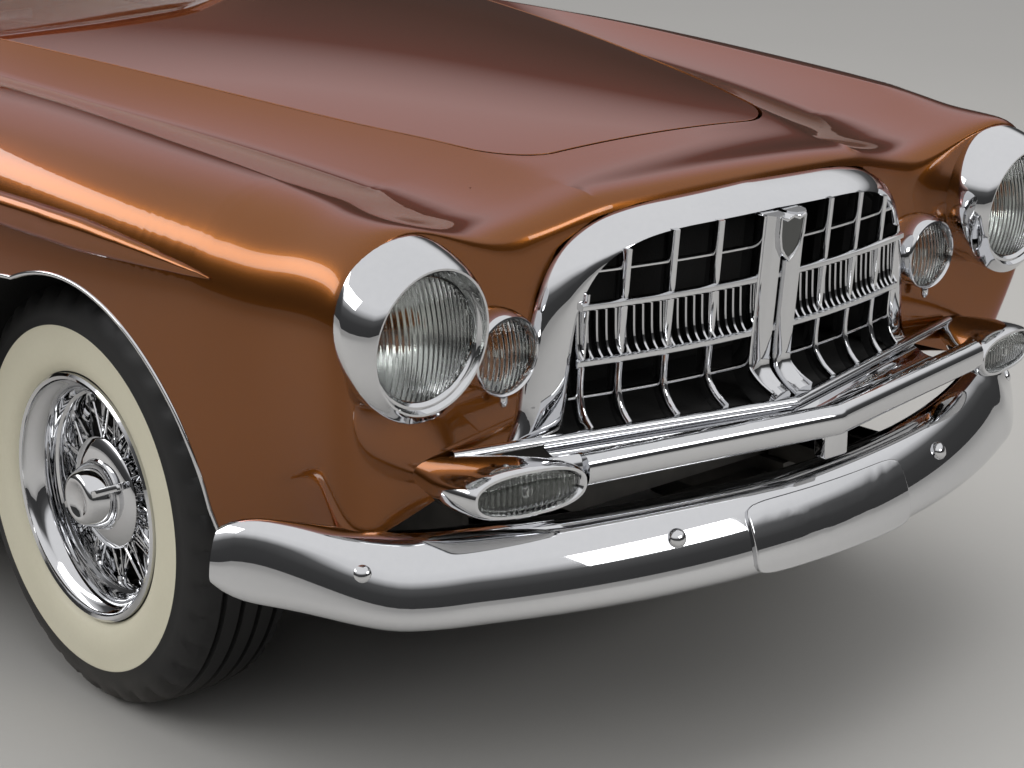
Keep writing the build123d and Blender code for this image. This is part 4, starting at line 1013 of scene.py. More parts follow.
def area_lamp(name, place, target, size, power):
    data = set_up(bpy.data.lights.new(name, "AREA"), shape="RECTANGLE", size=size[0], size_y=size[1], energy=power)
    turn = (Vector(target) - Vector(place)).to_track_quat("-Z", "Y").to_euler()
    return set_up(placed(name, data), location=place, rotation_euler=turn)


# Brightness of the surroundings from the horizon's underside up, as (place on the ramp, level)
SKY = ((0.0, 0.1), (0.16, 0.05), (0.3, 0.06), (0.41, 0.12), (0.46, 0.5), (0.52, 0.9), (0.62, 1.0), (1.0, 1.0))


def studio():
    scene = bpy.context.scene
    look = scene.hardtop_studio
    camera = placed("Photo camera", set_up(bpy.data.cameras.new("Photo camera"), lens=76.1, sensor_width=36,
                                           clip_end=200))
    camera.location = (-2.469, -4.708, 1.546)
    camera.rotation_euler = Vector((0.6343, 0.7183, -0.2857)).to_track_quat("-Z", "Y").to_euler()
    scene.camera = camera
    scene.view_settings.view_transform = "Standard"

    floor = bmesh.new()
    bmesh.ops.create_grid(floor, x_segments=8, y_segments=8, size=40)
    floor = mesh_object("studio_floor", floor)
    floor.data.materials.append(finish(
        "Studio floor", [0.93 * c for c in look.floor], look.floor, rough=(0.7, 0.85), patch=1.4, fine=0.02,
        fine_share=0.35, grain=0.15, grain_size=0.01,
    ))

    world = bpy.data.worlds.new("Studio")
    world.use_nodes = True
    tree = world.node_tree
    background = tree.nodes["Background"]
    direction = add(tree, "TexCoord").outputs["Generated"]
    height = add(tree, "SeparateXYZ", in_0=direction).outputs["Z"]
    ramp = add(tree, "ValToRGB", in_Fac=add(tree, "MapRange", in_0=height, in_1=-0.2, in_2=1.0).outputs[0])
    elements = ramp.color_ramp.elements
    elements[0].position, elements[1].position = SKY[0][0], SKY[-1][0]
    for place, _ in SKY[1:-1]:
        elements.new(place)
    for element, (_, level) in zip(elements, SKY):
        element.color = (level, level, level * 1.01, 1)
    tree.links.new(ramp.outputs["Color"], background.inputs["Color"])
    background.inputs["Strength"].default_value = 0.85
    scene.world = world
    area_lamp("Overhead", (0.6, -1.2, 5.2), (0, -1.0, 0), (6.0, 5.0), look.power).visible_glossy = False
    area_lamp("Side", (-4.8, 2.2, 4.2), (-0.6, -1.4, 0.8), (7.0, 1.5), look.power * 0.9)
    area_lamp("Front", (1.5, -8.0, 3.0), (0, -2.0, 0.6), (3.0, 1.4), look.power * 0.5)


class HARDTOP_OT_panels(bpy.types.Operator):
    """Builds the painted body panels"""

    bl_idname = "hardtop.panels"
    bl_label = "Body Panels"

    def execute(self, context):
        front_body()
        hood()
        cowl()
        for build in (door, quarter):
            for side in SIDES:
                build(side)
        tail()
        rear_deck()
        trunk_lid()
        roof()
        sills()
        return {"FINISHED"}


class HARDTOP_OT_studio(bpy.types.Operator):
    """Sets the floor, the lamps and the camera"""

    bl_idname = "hardtop.studio"
    bl_label = "Studio"

    def execute(self, context):
        studio()
        return {"FINISHED"}


# Wheels and tyres
def tyre(name, side, place):
    """A bias-ply tyre with a wide white sidewall, ribs and shoulder notches."""
    outer = [(0.066, 0.1905), (0.0745, 0.1905), (0.0765, 0.2), (0.0845, 0.2105), (0.092, 0.218), (0.0975, 0.23),
             (0.1005, 0.245), (0.1018, 0.265), (0.101, 0.286), (0.1016, 0.2895), (0.1, 0.2925), (0.0985, 0.305),
             (0.094, 0.322), (0.087, 0.336), (0.08, 0.345), (0.072, 0.35), (0.057, 0.353), (0.0555, 0.3455),
             (0.049, 0.3455), (0.047, 0.3545), (0.022, 0.3565), (0.0205, 0.3485), (0.014, 0.3485), (0.0125, 0.357)]
    inner = [(0.086, 0.295), (0.086, 0.246)]
    half = inner + outer
    steps, notch = 144, 0.006
    bm = lathe(half + [(-a, r) for a, r in reversed(half)] + [half[0]], steps=steps)
    for vert in bm.verts:
        radius = hypot(vert.co.y, vert.co.z)
        turn = round(atan2(vert.co.z, vert.co.y) / (2 * pi) * steps) % 4
        if radius > 0.334 and abs(vert.co.x) > 0.065 and turn == 0:
            vert.co.y *= 1 - notch / radius
            vert.co.z *= 1 - notch / radius
            vert.co.x *= 0.965
    for face in bm.faces:
        centre = face.calc_center_median()
        radius = hypot(centre.y, centre.z)
        face.material_index = 1 if centre.x > 0.06 and 0.2115 < radius < 0.289 else 0
    obj = piece(f"{name}_rubber", moved(on_side(side, bm), place), rubber(), body=name.replace("tyre", "wheel"),
                replaces=(name,), sharp=40)
    obj.data.materials.append(whitewall())


def rim_profile():
    back = [(-0.086, 0.2085), (-0.091, 0.2085), (-0.094, 0.204), (-0.093, 0.198), (-0.067, 0.178), (-0.033, 0.163)]
    front = [(0.02, 0.163), (0.034, 0.164), (0.04, 0.1665), (0.043, 0.1715), (0.049, 0.1735), (0.06, 0.175),
             (0.072, 0.18), (0.08, 0.188), (0.084, 0.195), (0.088, 0.1975), (0.0925, 0.1985), (0.0945, 0.204),
             (0.0915, 0.2085), (0.0865, 0.209), (0.0825, 0.2045), (0.0785, 0.193), (0.074, 0.19), (0.04, 0.187)]
    well = [(0.022, 0.186), (0.014, 0.175), (-0.014, 0.175), (-0.022, 0.186), (-0.074, 0.19), (-0.0785, 0.193),
            (-0.0825, 0.2045)]
    return [*back, *front, *well, back[0]]


def spokes():
    """Laced spokes in three rows with their nipples."""
    settings = bpy.context.scene.hardtop_wheels
    count, radius = settings.spoke_pairs, settings.spoke_radius
    parts = []
    # Columns: hub x, hub radius, rim x, rim radius, lean in degrees, start in degrees
    for hub_x, hub_r, rim_x, rim_r, lean, start in (
        (0.041, 0.06, 0.026, 0.165, 24, 0), (0.036, 0.056, -0.01, 0.164, 15, 5),
        (-0.016, 0.05, 0.008, 0.164, 26, 9),
    ):
        for i in range(count):
            for sign in (-1, 1):
                inner = rotation(start + 360 * i / count + sign * 2.2, "X") @ Vector((hub_x, 0, hub_r - 0.006))
                outer = rotation(start + 360 * i / count + sign * lean, "X") @ Vector((rim_x, 0, rim_r))
                parts.append(rod(inner, outer, radius, 6))
                parts.append(rod(inner.lerp(outer, 0.9), outer, radius * 2.1, 8, radius * 2.4))
    return parts


def hub_parts():
    barrel = lathe([(-0.03, 0.0), (-0.03, 0.07), (-0.024, 0.064), (-0.016, 0.052), (0.02, 0.046), (0.034, 0.052),
                    (0.04, 0.066), (0.046, 0.07), (0.0465, 0.0)], steps=48)
    drum = lathe([(-0.084, 0.0), (-0.084, 0.132), (-0.036, 0.132), (-0.031, 0.126), (-0.03, 0.0)], steps=48)
    disc = [(0.046, 0.0), (0.046, 0.0935), (0.05, 0.0945), (0.053, 0.0915), (0.0545, 0.086), (0.056, 0.084),
            (0.0585, 0.07), (0.06, 0.06), (0.0625, 0.0575), (0.068, 0.057), (0.075, 0.0555), (0.098, 0.044),
            (0.102, 0.0405), (0.1045, 0.036), (0.105, 0.032), (0.1035, 0.028), (0.1, 0.02), (0.0982, 0.01),
            (0.098, 0.0)]
    return [barrel, drum, lathe(disc, steps=64)]


def plate_of(outline, half_thickness, bevel):
    """A flat plate from (y, x) corners, standing half its thickness to each side of the plane z = 0."""
    return rounded(extruded([(x, y, -half_thickness) for y, x in outline], (0, 0, 2 * half_thickness)), bevel, 2)


def knock_off_ears():
    """Two flat wings that stand out from the hub cap."""
    outline = ((-0.022, 0.058), (-0.0905, 0.058), (-0.0925, 0.066), (-0.089, 0.076), (-0.056, 0.098),
               (-0.022, 0.1))
    return [moved(plate_of(outline, 0.0058, 0.0016), turn=rotation(angle, "X")) for angle in (-24, 156)]


def wheel(name, side, place):
    bm = on_side(side, joined(lathe(rim_profile(), steps=96), *hub_parts(), *spokes(), *knock_off_ears()))
    piece(f"{name}_wire", moved(bm, place), chrome(), body=name, replaces=(name,), sharp=34)


# Grille, lamps and bumpers
def grille_face(x, z):
    """How far forward the grille's bowed and leaning face lies."""
    return -2.503 + 0.369 * x * x - 0.095 * (z - 0.62)


def lip_y(x):
    return -2.58 + 0.258 * abs(x)


def bar_y(x):
    """Where the V-shaped upper bar lies."""
    return -2.662 + 0.186 * abs(x)


def opening_top(x):
    """The top of the grille's opening at x."""
    for (x0, z0), (x1, z1) in zip(FRAME_INSIDE, FRAME_INSIDE[1:]):
        if x0 <= abs(x) <= x1:
            return z0 + (z1 - z0) * (abs(x) - x0) / (x1 - x0)


def grille_frame():
    """The wide bright frame of the grille, its feet turned out at the bottom."""
    # Columns: share of the way from the outer to the inner edge, extra y
    profile = ((0.0, 0.012), (0.0, -0.002), (0.035, -0.008), (0.12, -0.0125), (0.3, -0.015), (0.55, -0.014),
               (0.8, -0.009), (0.93, -0.004), (1.0, 0.004), (1.0, 0.018), (1.0, 0.052))
    outside = smooth_corner([Vector(p) for p in FRAME_OUTSIDE], 10)
    inside = smooth_corner([Vector(p) for p in FRAME_INSIDE], 10)

    def place(column, row):
        share, extra = profile[row]
        a, b = outside[abs(column)], inside[abs(column)]
        flare = max(0, (0.6 - a.y) / 0.06) ** 2 * 0.022
        a = Vector((a.x + flare, a.y))
        y_out = -2.452 + 0.15 * a.x**2
        y_in = grille_face(b.x, b.y) - 0.006
        x, z = a.lerp(b, share)
        return Vector((copysign(x, column), y_out + (y_in - y_out) * share + extra, z))

    piece("grille_frame", surface(range(-59, 60), range(len(profile)), place), chrome(),
          replaces=("grille_surround",), outward=(0, -1, 0.1), wall=0.003, sharp=60)


def upright(x, top, half_width, half_depth, forward=0.0):
    """An upright that runs down the grille's face and sweeps forward into the lip."""
    low = lip_y(x)
    path = [(x, grille_face(x, z) - forward, z) for z in (top, 0.7, 0.625)]
    path += [(x, grille_face(x, 0.6) - forward - 0.006, 0.596), (x, (low + grille_face(x, 0.6) - forward) / 2, 0.572),
             (x, low + 0.002, 0.558)]
    return bar_along(smooth_line(path, 26), half_width, half_depth, (1, 0, 0), 12, 3.0)


def level_bar(z, half_height, half_depth, forward, half_width):
    path = [(x, grille_face(x, z) - forward, z) for x in spaced(-half_width, half_width, 41)]
    return bar_along(path, half_height, half_depth, UP, 12, 3.0)


def shield():
    """A bare shield at the head of the middle bars."""
    outline = [(-0.029, 0.849), (-0.014, 0.845), (0, 0.85), (0.014, 0.845), (0.029, 0.849), (0.029, 0.818),
               (0.024, 0.797), (0.014, 0.784), (0, 0.774), (-0.014, 0.784), (-0.024, 0.797), (-0.029, 0.818)]
    bm = extruded([(x, grille_face(0, z) - 0.04, z) for x, z in outline], (0, 0.024, 0))
    front = min(bm.faces, key=lambda f: f.calc_center_median().y + (0 if len(f.verts) == 12 else 1))
    bmesh.ops.inset_region(bm, faces=[front], thickness=0.005, depth=0.0)
    bmesh.ops.inset_region(bm, faces=[front], thickness=0.0008, depth=-0.003)
    front.material_index = 1
    obj = piece("shield", bm, chrome(), bevel=0.0012, sharp=25)
    obj.data.materials.append(dark_enamel())


def grille_bars():
    # Columns: z, half height, half depth, how far forward, half width
    parts = [level_bar(*row) for row in (
        (0.749, 0.0062, 0.0085, 0.012, 0.366), (0.662, 0.0066, 0.0085, 0.012, 0.368),
        (0.8, 0.0032, 0.006, 0.0, 0.334), (0.606, 0.0032, 0.006, 0.002, 0.37),
    )]
    # Columns: x, top, half width, half depth, how far forward
    rows = [(x, opening_top(x) + 0.004, width, 0.013, 0.002)
            for x, width in ((0.125, 0.0062), (0.21, 0.0062), (0.292, 0.0062), (0.355, 0.004))]
    rows += [(0.0245, 0.852, 0.0185, 0.02, 0.014), (0.0445, 0.852, 0.004, 0.02, 0.002)]
    parts += [upright(sign * x, *row) for x, *row in rows for sign in (-1, 1)]
    for x in spaced(0.062, 0.362, bpy.context.scene.hardtop_grille.blades):
        y = grille_face(x, 0.7)
        path = [(x, y + 0.001, 0.746), (x, y, 0.7), (x, y - 0.003, 0.682), (x, y - 0.008, 0.672),
                (x, y - 0.014, 0.6655)]
        parts.append(both_sides(bar_along(smooth_line(path, 12), 0.0026, 0.008, (1, 0, 0), 8, 2.6)))
    piece("grille_bars", joined(*parts), chrome(), replaces=("grille",), sharp=40)


def grille_backing():
    """The dark duct and screen behind the grille."""
    line = smooth_corner([Vector(p) for p in FRAME_INSIDE], 10)

    def duct(k, row):
        x, z = line[abs(k)]
        return Vector((copysign(x, k) * (1 - 0.02 * row), grille_face(x, z) + 0.03 + 0.2 * row, z))

    back = -2.27
    walls = surface(range(-59, 60), (0, 0.5, 1), duct)
    screen = surface(spaced(-0.4, 0.4, 9), spaced(0.5, 0.9, 5), lambda x, z: Vector((x, back, z)))
    floor = surface(spaced(-0.4, 0.4, 9), spaced(-2.56, back, 4),
                    lambda x, y: Vector((x, max(y, lip_y(x) + 0.02), 0.548)))
    piece("grille_backing", joined(walls, screen, floor), dark_liner(), outward=(0, -1, 0), wall=0.002)


def lip_and_shelf():
    """The V-shaped lip under the grille and the hollow polished shelf in front of it."""
    half = spaced(0.004, 0.574, 40)
    path = [(x, lip_y(x), LIP_Z) for x in (*(-x for x in reversed(half)), 0, *half)]
    lip = bar_along(path, 0.0075, 0.0095, UP, 14, 2.2)

    def shelf_place(x, t):
        back, front = lip_y(x) + 0.004, bar_y(x) + 0.012
        hollow = 0.02 * sin(pi * min(1, t * 1.05)) * (1 - 0.35 * t)
        return Vector((x, back + (front - back) * t, LIP_Z - 0.006 - hollow))

    shelf = thickened(surface(spaced(-0.43, 0.43, 61), spaced(0, 1, 12), shelf_place), 0.003)
    piece("grille_lip", joined(lip, shelf), chrome(), replaces=("front_apron",), sharp=40)


def oval(centre, half_x, half_z, y, count=40, squareness=2.0, sweep=0.0):
    """A ring of points around a centre; sweep leans it back for each metre outwards."""
    ring = []
    for a in (2 * pi * k / count for k in range(count)):
        across, up = [abs(v) ** (2 / squareness) * (1 if v > 0 else -1) for v in (cos(a), sin(a))]
        ring.append(Vector((centre[0] + half_x * across, y + sweep * half_x * across, centre[1] + half_z * up)))
    return ring


def upper_bar():
    """The V-shaped bar over the bumper with its middle support and the pods of the parking lamps."""
    z = 0.545
    half = spaced(0.003, 0.454, 24)
    path = [(x, bar_y(x), z) for x in (*(-x for x in reversed(half)), 0, *half)]
    bar = bar_along(path, 0.0245, 0.0205, UP, 24, 2.5)
    blade = block((-0.026, 0.026), (-2.668, -2.642), (0.486, 0.545), 0.004)
    # Columns: x, z, half width, half height, y
    rows = ((0.572, 0.532, 0.08, 0.026, -2.562), (0.572, 0.532, 0.0835, 0.0275, -2.5755),
            (0.572, 0.532, 0.086, 0.0295, -2.579), (0.5715, 0.532, 0.0905, 0.0335, -2.579),
            (0.571, 0.532, 0.0945, 0.037, -2.573), (0.572, 0.532, 0.0965, 0.0385, -2.56),
            (0.577, 0.532, 0.095, 0.0375, -2.535), (0.588, 0.533, 0.085, 0.0335, -2.5),
            (0.602, 0.535, 0.066, 0.027, -2.465), (0.612, 0.537, 0.048, 0.02, -2.43))
    pod = tube([oval((x - 0.02, pod_z), a, b, y, *PARKING_OUTLINE) for x, pod_z, a, b, y in rows])
    arm = bar_along(smooth_line([(0.43, -2.578, z), (0.465, -2.56, 0.541), (0.52, -2.532, 0.536)], 10), 0.024, 0.013,
                    UP, 16, 2.2)
    bm = joined(bar, blade, both_sides(pod), both_sides(arm))
    piece("upper_bar_bright", bm, chrome(), replaces=("upper_bar",), sharp=42)


def lamp_ring(centre, rows, count=64):
    """A ring from rows that end where they began: y, half width, half height, lift and its top's forward lean."""
    rings = []
    for y, half_x, half_z, lift, lean in (*rows, rows[0]):
        ring = oval((centre[0], centre[1] + lift), half_x, half_z, y, count)
        rings.append([p - Vector((0, lean * (p.z - centre[1] - lift), 0)) for p in ring])
    return tube(rings, caps=False)


def lens(centre, radius, y, rise, thickness=0.004):
    """A domed glass disc that faces forward."""
    outer = [(y - rise * (1 - t * t), radius * t) for t in spaced(0, 1, 12)]
    inner = [(a + thickness, r * 0.985) for a, r in reversed(outer)]
    return moved(lathe(outer + inner, "Y", 56), (centre[0], 0, centre[1]))


def reflector(centre, radius, y, depth):
    """A hollow bowl with the bulb's shade in its middle."""
    bowl = lathe([(y + depth * (1 - t * t), radius * t) for t in spaced(0, 1, 14)], "Y", 56)
    shade = lathe([(y + depth * 0.3, 0.0), (y + depth * 0.33, radius * 0.13), (y + depth * 0.45, radius * 0.17),
                   (y + depth * 0.55, radius * 0.15), (y + depth * 0.98, radius * 0.05)], "Y", 24)
    return moved(joined(bowl, shade), (centre[0], 0, centre[1]))


# Lamp centres as (x, z), and the parking lamp's outline for oval()
HEADLAMP = (0.67, 0.757)
DRIVING_LAMP = (0.487, 0.691)
PARKING_LAMP = (0.552, 0.532)
PARKING_OUTLINE = (40, 2.5, 0.186)


def front_lamps():
    """The flared headlamp surrounds, the driving lamps and the oval parking lamps."""
    head_rows = (
        (-2.405, 0.112, 0.122, 0.01, -0.2), (-2.44, 0.1165, 0.127, 0.011, -0.2), (-2.458, 0.1195, 0.13, 0.011, -0.2),
        (-2.4615, 0.1192, 0.1295, 0.011, -0.18), (-2.474, 0.1165, 0.1262, 0.009, -0.09),
        (-2.488, 0.112, 0.12, 0.006, 0.0), (-2.5, 0.1065, 0.113, 0.003, 0.08), (-2.5055, 0.103, 0.109, 0.001, 0.115),
        (-2.509, 0.1, 0.106, 0.0, 0.12), (-2.5085, 0.097, 0.103, 0.0, 0.12), (-2.504, 0.095, 0.1005, 0.0, 0.11),
        (-2.499, 0.0935, 0.098, 0.0, 0.09), (-2.4975, 0.092, 0.096, 0.0, 0.07), (-2.495, 0.0905, 0.0935, 0.0, 0.04),
        (-2.49, 0.0885, 0.09, 0.0, 0.02), (-2.487, 0.0878, 0.0884, 0.0, 0.0), (-2.455, 0.0876, 0.0876, 0.0, 0.0),
        (-2.405, 0.0876, 0.0876, 0.0, 0.0),
    )
    drive_rows = (
        (-2.405, 0.06, 0.062, 0.006, -0.1), (-2.428, 0.0615, 0.064, 0.006, -0.1),
        (-2.444, 0.0612, 0.064, 0.005, -0.05), (-2.4525, 0.06, 0.062, 0.002, 0.03),
        (-2.456, 0.0585, 0.06, 0.001, 0.06), (-2.457, 0.0568, 0.058, 0.0, 0.06), (-2.4545, 0.0552, 0.056, 0.0, 0.04),
        (-2.449, 0.054, 0.0543, 0.0, 0.0), (-2.443, 0.0533, 0.0533, 0.0, 0.0), (-2.405, 0.0533, 0.0533, 0.0, 0.0),
    )
    stud = moved(lathe([(-0.012, 0.0), (-0.01, 0.004), (-0.004, 0.0065), (0.004, 0.0065), (0.012, 0.004)], "Z", 20),
                 (DRIVING_LAMP[0], -2.444, DRIVING_LAMP[1] - 0.066))
    rims = joined(lamp_ring(HEADLAMP, head_rows, 72), lamp_ring(DRIVING_LAMP, drive_rows, 56), stud)
    piece("lamp_rings", both_sides(rims), chrome(), replaces=("lamp_rims",), sharp=42)
    bowls = joined(reflector(HEADLAMP, 0.0872, -2.484, 0.06), reflector(DRIVING_LAMP, 0.053, -2.44, 0.034))
    piece("lamp_reflectors", both_sides(bowls), satin_chrome(), sharp=50)
    parking = tube([oval(PARKING_LAMP, a, b, y, *PARKING_OUTLINE) for a, b, y in (
        (0.082, 0.0262, -2.566), (0.0818, 0.026, -2.571), (0.07, 0.0215, -2.576), (0.045, 0.0135, -2.5785),
        (0.015, 0.0045, -2.5795),
    )])
    well = tube([oval(PARKING_LAMP, 0.0795, 0.025, y, *PARKING_OUTLINE) for y in (-2.5652, -2.564)])
    piece("parking_wells", both_sides(well), dark_enamel())
    bulb = lathe([(-0.006, 0.0), (-0.005, 0.006), (0.0, 0.0085), (0.004, 0.0085)], "Y", 24)
    bulb = moved(bulb, (PARKING_LAMP[0], -2.5665, PARKING_LAMP[1]))
    piece("parking_bulbs", both_sides(bulb), satin_chrome())
    glasses = joined(lens(HEADLAMP, 0.0868, -2.488, 0.02), lens(DRIVING_LAMP, 0.0528, -2.444, 0.012), parking)
    piece("lamp_glasses", both_sides(glasses), lamp_glass(), replaces=("lamp_lenses",), sharp=50)


BUMPER_Y = 2.6825
BUMPER_FOOT = 0.3295
BUMPER_HEIGHT = 0.131
FRONT_BOW = 0.3735
REAR_BOW = 0.102


def bumper_path(front):
    """(point, outward direction) pairs along a bumper's face from its right end to its left."""
    if front:
        middle = [(x, -BUMPER_Y + FRONT_BOW * x * x) for x in spaced(0, 0.6, 26)]
        ends = [(0.66, -2.5215), (0.72, -2.483), (0.78, -2.435), (0.83, -2.38), (0.868, -2.325), (0.892, -2.272)]
    else:
        middle = [(x, BUMPER_Y - REAR_BOW * x * x) for x in spaced(0, 0.7, 26)]
        ends = [(0.76, 2.622), (0.81, 2.59), (0.85, 2.543), (0.878, 2.485), (0.892, 2.43)]
    half = smooth_line([*middle, *ends], 60)
    line = [Vector((-p.x, p.y, 0)) for p in reversed(half[1:])] + [Vector((p.x, p.y, 0)) for p in half]
    sign = 1 if front else -1
    pairs = []
    for i, p in enumerate(line):
        along = (line[min(i + 1, len(line) - 1)] - line[max(i - 1, 0)]).normalized()
        pairs.append((p, Vector((sign * along.y, -sign * along.x, 0))))
    return pairs


# How far behind the bumper's face its outer skin lies from top to bottom, and its height
BUMPER_SECTION = (
    (0.094, 0.45), (0.092, 0.456), (0.082, 0.4602), (0.066, 0.46), (0.052, 0.456), (0.04, 0.448),
    (0.0295, 0.436), (0.0205, 0.4215), (0.0125, 0.405), (0.0062, 0.387), (0.002, 0.369), (0.0, 0.353),
    (0.003, 0.342), (0.011, 0.3335), (0.022, 0.3298), (0.033, BUMPER_FOOT),
)


def face_depth(z):
    """How far behind the bumper's foremost line its face lies at that height."""
    return min(smooth_line(BUMPER_SECTION, 160), key=lambda p: abs(p.y - z)).x


def bumper_section():
    """The bumper's closed section as (depth, height)."""
    outer = smooth_line(BUMPER_SECTION, 44)
    inner = []
    for i, point in enumerate(outer[::2]):
        along = (outer[min(2 * i + 1, 43)] - outer[max(2 * i - 1, 0)]).normalized()
        inner.append(point + 0.0045 * Vector((-along.y, along.x)))
    return outer + inner[::-1]


def bumper_bar(front):
    pairs = bumper_path(front)
    section = bumper_section()
    last = len(pairs) - 1
    rings = []
    for i, (point, out) in enumerate(pairs):
        from_end = min(i, last - i)
        closing = sqrt(max(0.0, 1 - ((5 - from_end) / 5.4) ** 2)) if from_end < 5 else 1.0
        turned = smooth_step(abs(point.x), 0.7, 0.87)
        ring = []
        for depth, z in section:
            share = (z - BUMPER_FOOT) / BUMPER_HEIGHT
            height = z + turned * (0.03 * share + 0.04 * (1 - share))
            middle = 0.395 + 0.035 * turned
            up = Vector((0, 0, middle + (height - middle) * (0.45 + 0.55 * closing)))
            ring.append(point - out * depth * (1 - 0.52 * turned) + up)
        rings.append(ring)
    return tube(rings)


def plate_pad(front):
    """A bare raised pad with rounded corners where a number plate would sit."""
    sign, bow = (-1, FRONT_BOW) if front else (1, REAR_BOW)

    def place(u, v):
        reach = max(abs(u), abs(v))
        fit = reach / (abs(u) ** 9 + abs(v) ** 9) ** (1 / 9) if reach > 1e-6 else 1.0
        x, z = u * fit * 0.182, 0.39 + v * fit * 0.054
        return Vector((x, sign * (2.6893 - bow * x * x - face_depth(max(z, 0.352))), z))

    return surface(spaced(-1, 1, 37), spaced(-1, 1, 15), place)


def bumper_bolts(front):
    parts = []
    pairs = bumper_path(front)
    for x, z in ((0.305, 0.418), (0.7525, 0.42)):
        point, out = min(pairs, key=lambda pair: abs(pair[0].x - x) + (pair[0].x < 0))
        head = lathe([(-0.002, 0.015), (0.003, 0.0148), (0.008, 0.0115), (0.0105, 0.006), (0.0112, 0.0)], "Z", 28)
        turn = (out + Vector((0, 0, 0.45))).to_track_quat("Z", "Y").to_matrix()
        parts.append(moved(head, point - out * face_depth(z) + Vector((0, 0, z)), turn))
    return both_sides(joined(*parts))


def bumpers():
    for front in (True, False):
        where = "front" if front else "rear"
        limits = (((-2.55, -2.2505), (0.3155, 0.4)), ((-2.6, -2.2505), (0.35, 0.4)))
        if not front:
            limits = (((2.4655, 2.655), (0.3547, 0.4045)),)
        stays = [block((x - 0.026, x + 0.026), y, z, 0.003) for x in (-0.337, 0.337) for y, z in limits]
        bar = joined(bumper_bar(front), bumper_bolts(front))
        piece(f"bumper_{where}_bright", bar, chrome(), replaces=(f"bumper_{where}",), sharp=45)
        piece(f"bumper_{where}_stays", joined(*stays), black_paint())
        piece(f"bumper_{where}_pad", plate_pad(front), chrome(), wall=0.012, bevel=0.003,
              outward=lambda c: Vector((0, c.y, 0)), sharp=50)


class HardtopWheels(bpy.types.PropertyGroup):
    """Spokes of the wire wheels"""

    spoke_pairs: bpy.props.IntProperty(
        name="Spoke pairs", description="Crossed pairs of spokes in each of the three rows", default=14, min=4, max=30
    )
    spoke_radius: bpy.props.FloatProperty(
        name="Spoke radius", description="Radius of a spoke", default=0.0021, min=0.0005, max=0.01, unit="LENGTH"
    )


class HardtopGrille(bpy.types.PropertyGroup):
    """Blades of the grille"""

    blades: bpy.props.IntProperty(
        name="Blades", description="Fine blades on each side between the two strong level bars", default=20, min=2,
        max=60,
    )


class HARDTOP_OT_wheels(bpy.types.Operator):
    """Builds the wire wheels and their tyres"""

    bl_idname = "hardtop.wheels"
    bl_label = "Wheels and Tyres"

    def execute(self, context):
        for end, y in (("front", FRONT_AXLE), ("rear", REAR_AXLE)):
            for side, sign in (("left", 1), ("right", -1)):
                place = (sign * WHEEL_X, y, TYRE_RADIUS)
                wheel(f"wheel_{end}_{side}", side, place)
                tyre(f"tyre_{end}_{side}", side, place)
        return {"FINISHED"}


class HARDTOP_OT_grille(bpy.types.Operator):
    """Builds the grille with its frame, shield and lip"""

    bl_idname = "hardtop.grille"
    bl_label = "Grille"

    def execute(self, context):
        grille_frame()
        grille_bars()
        shield()
        grille_backing()
        lip_and_shelf()
        return {"FINISHED"}


class HARDTOP_OT_bright(bpy.types.Operator):
    """Builds the lamps, the bumpers and the bar between them"""

    bl_idname = "hardtop.bright"
    bl_label = "Lamps and Bumpers"

    def execute(self, context):
        upper_bar()
        front_lamps()
        bumpers()
        return {"FINISHED"}


# Glass and the bright work round it
def arc_points(end, middle, count):
    """Points on the level arc from -x to +x through the middle, from its +x end and its middle (y, z)."""
    half, rise_y, rise_z = end[0], end[1] - middle[0], end[2] - middle[1]
    return [Vector((half * t, middle[0] + rise_y * t * t, middle[1] + rise_z * t * t)) for t in spaced(-1, 1, count)]


# Windows, each by the end and middle of its lower arc and of its upper arc
WINDSHIELD = (
    (0.638, WINDSHIELD_BASE + 0.068, 1.0275), (WINDSHIELD_BASE, 1.0765),
    (0.532, ROOF_FRONT + 0.02, 1.366), (ROOF_FRONT - 0.01, 1.425),
)
REAR_WINDOW = (
    (0.612, REAR_WINDOW_BASE - 0.06, 1.005), (REAR_WINDOW_BASE, 1.0165),
    (0.52, ROOF_REAR + 0.014, 1.35), (ROOF_REAR + 0.048, 1.402),
)


def bent_pane(window):
    """A pane bowed between a lower and an upper arc."""
    low, high = arc_points(*window[:2], 41), arc_points(*window[2:], 41)
    return surface(range(41), spaced(0, 1, 13), lambda k, t: low[k].lerp(high[k], t))


def window_trim(window, forward):
    """A bright moulding round a bent pane, standing off it by forward along y."""
    low, high = arc_points(*window[:2], 41), arc_points(*window[2:], 41)
    right = [low[-1].lerp(high[-1], t) for t in spaced(0, 1, 14)[1:-1]]
    left = [high[0].lerp(low[0], t) for t in spaced(0, 1, 14)[1:-1]]
    loop = [*low, *right, *reversed(high), *left]
    rings = []
    count = len(loop)
    middle = sum(loop, Vector()) / count
    for i, point in enumerate(loop):
        along = (loop[(i + 1) % count] - loop[i - 1]).normalized()
        inward = middle - point
        inward = (inward - along * inward.dot(along)).normalized()
        off = along.cross(inward)
        if off.y * forward < 0:
            off = -off
        rings.append([point + inward * (0.02 * a) + off * (0.009 * b) for a, b in (
            (-0.55, 0.0), (-0.45, 0.55), (-0.1, 0.95), (0.3, 0.9), (0.55, 0.4), (0.6, -0.2), (0.0, -0.35),
        )])
    rings.append(rings[0])
    return tube(rings, caps=False)


def side_plane(y, up, offset=0.0):
    """A point in the leaning plane of the left side windows."""
    return Vector((BELT_X + offset - (BELT_X - RAIL_TOP_X) * up, y, BELT_Z + 0.0005 + (RAIL_TOP_Z - BELT_Z) * up))


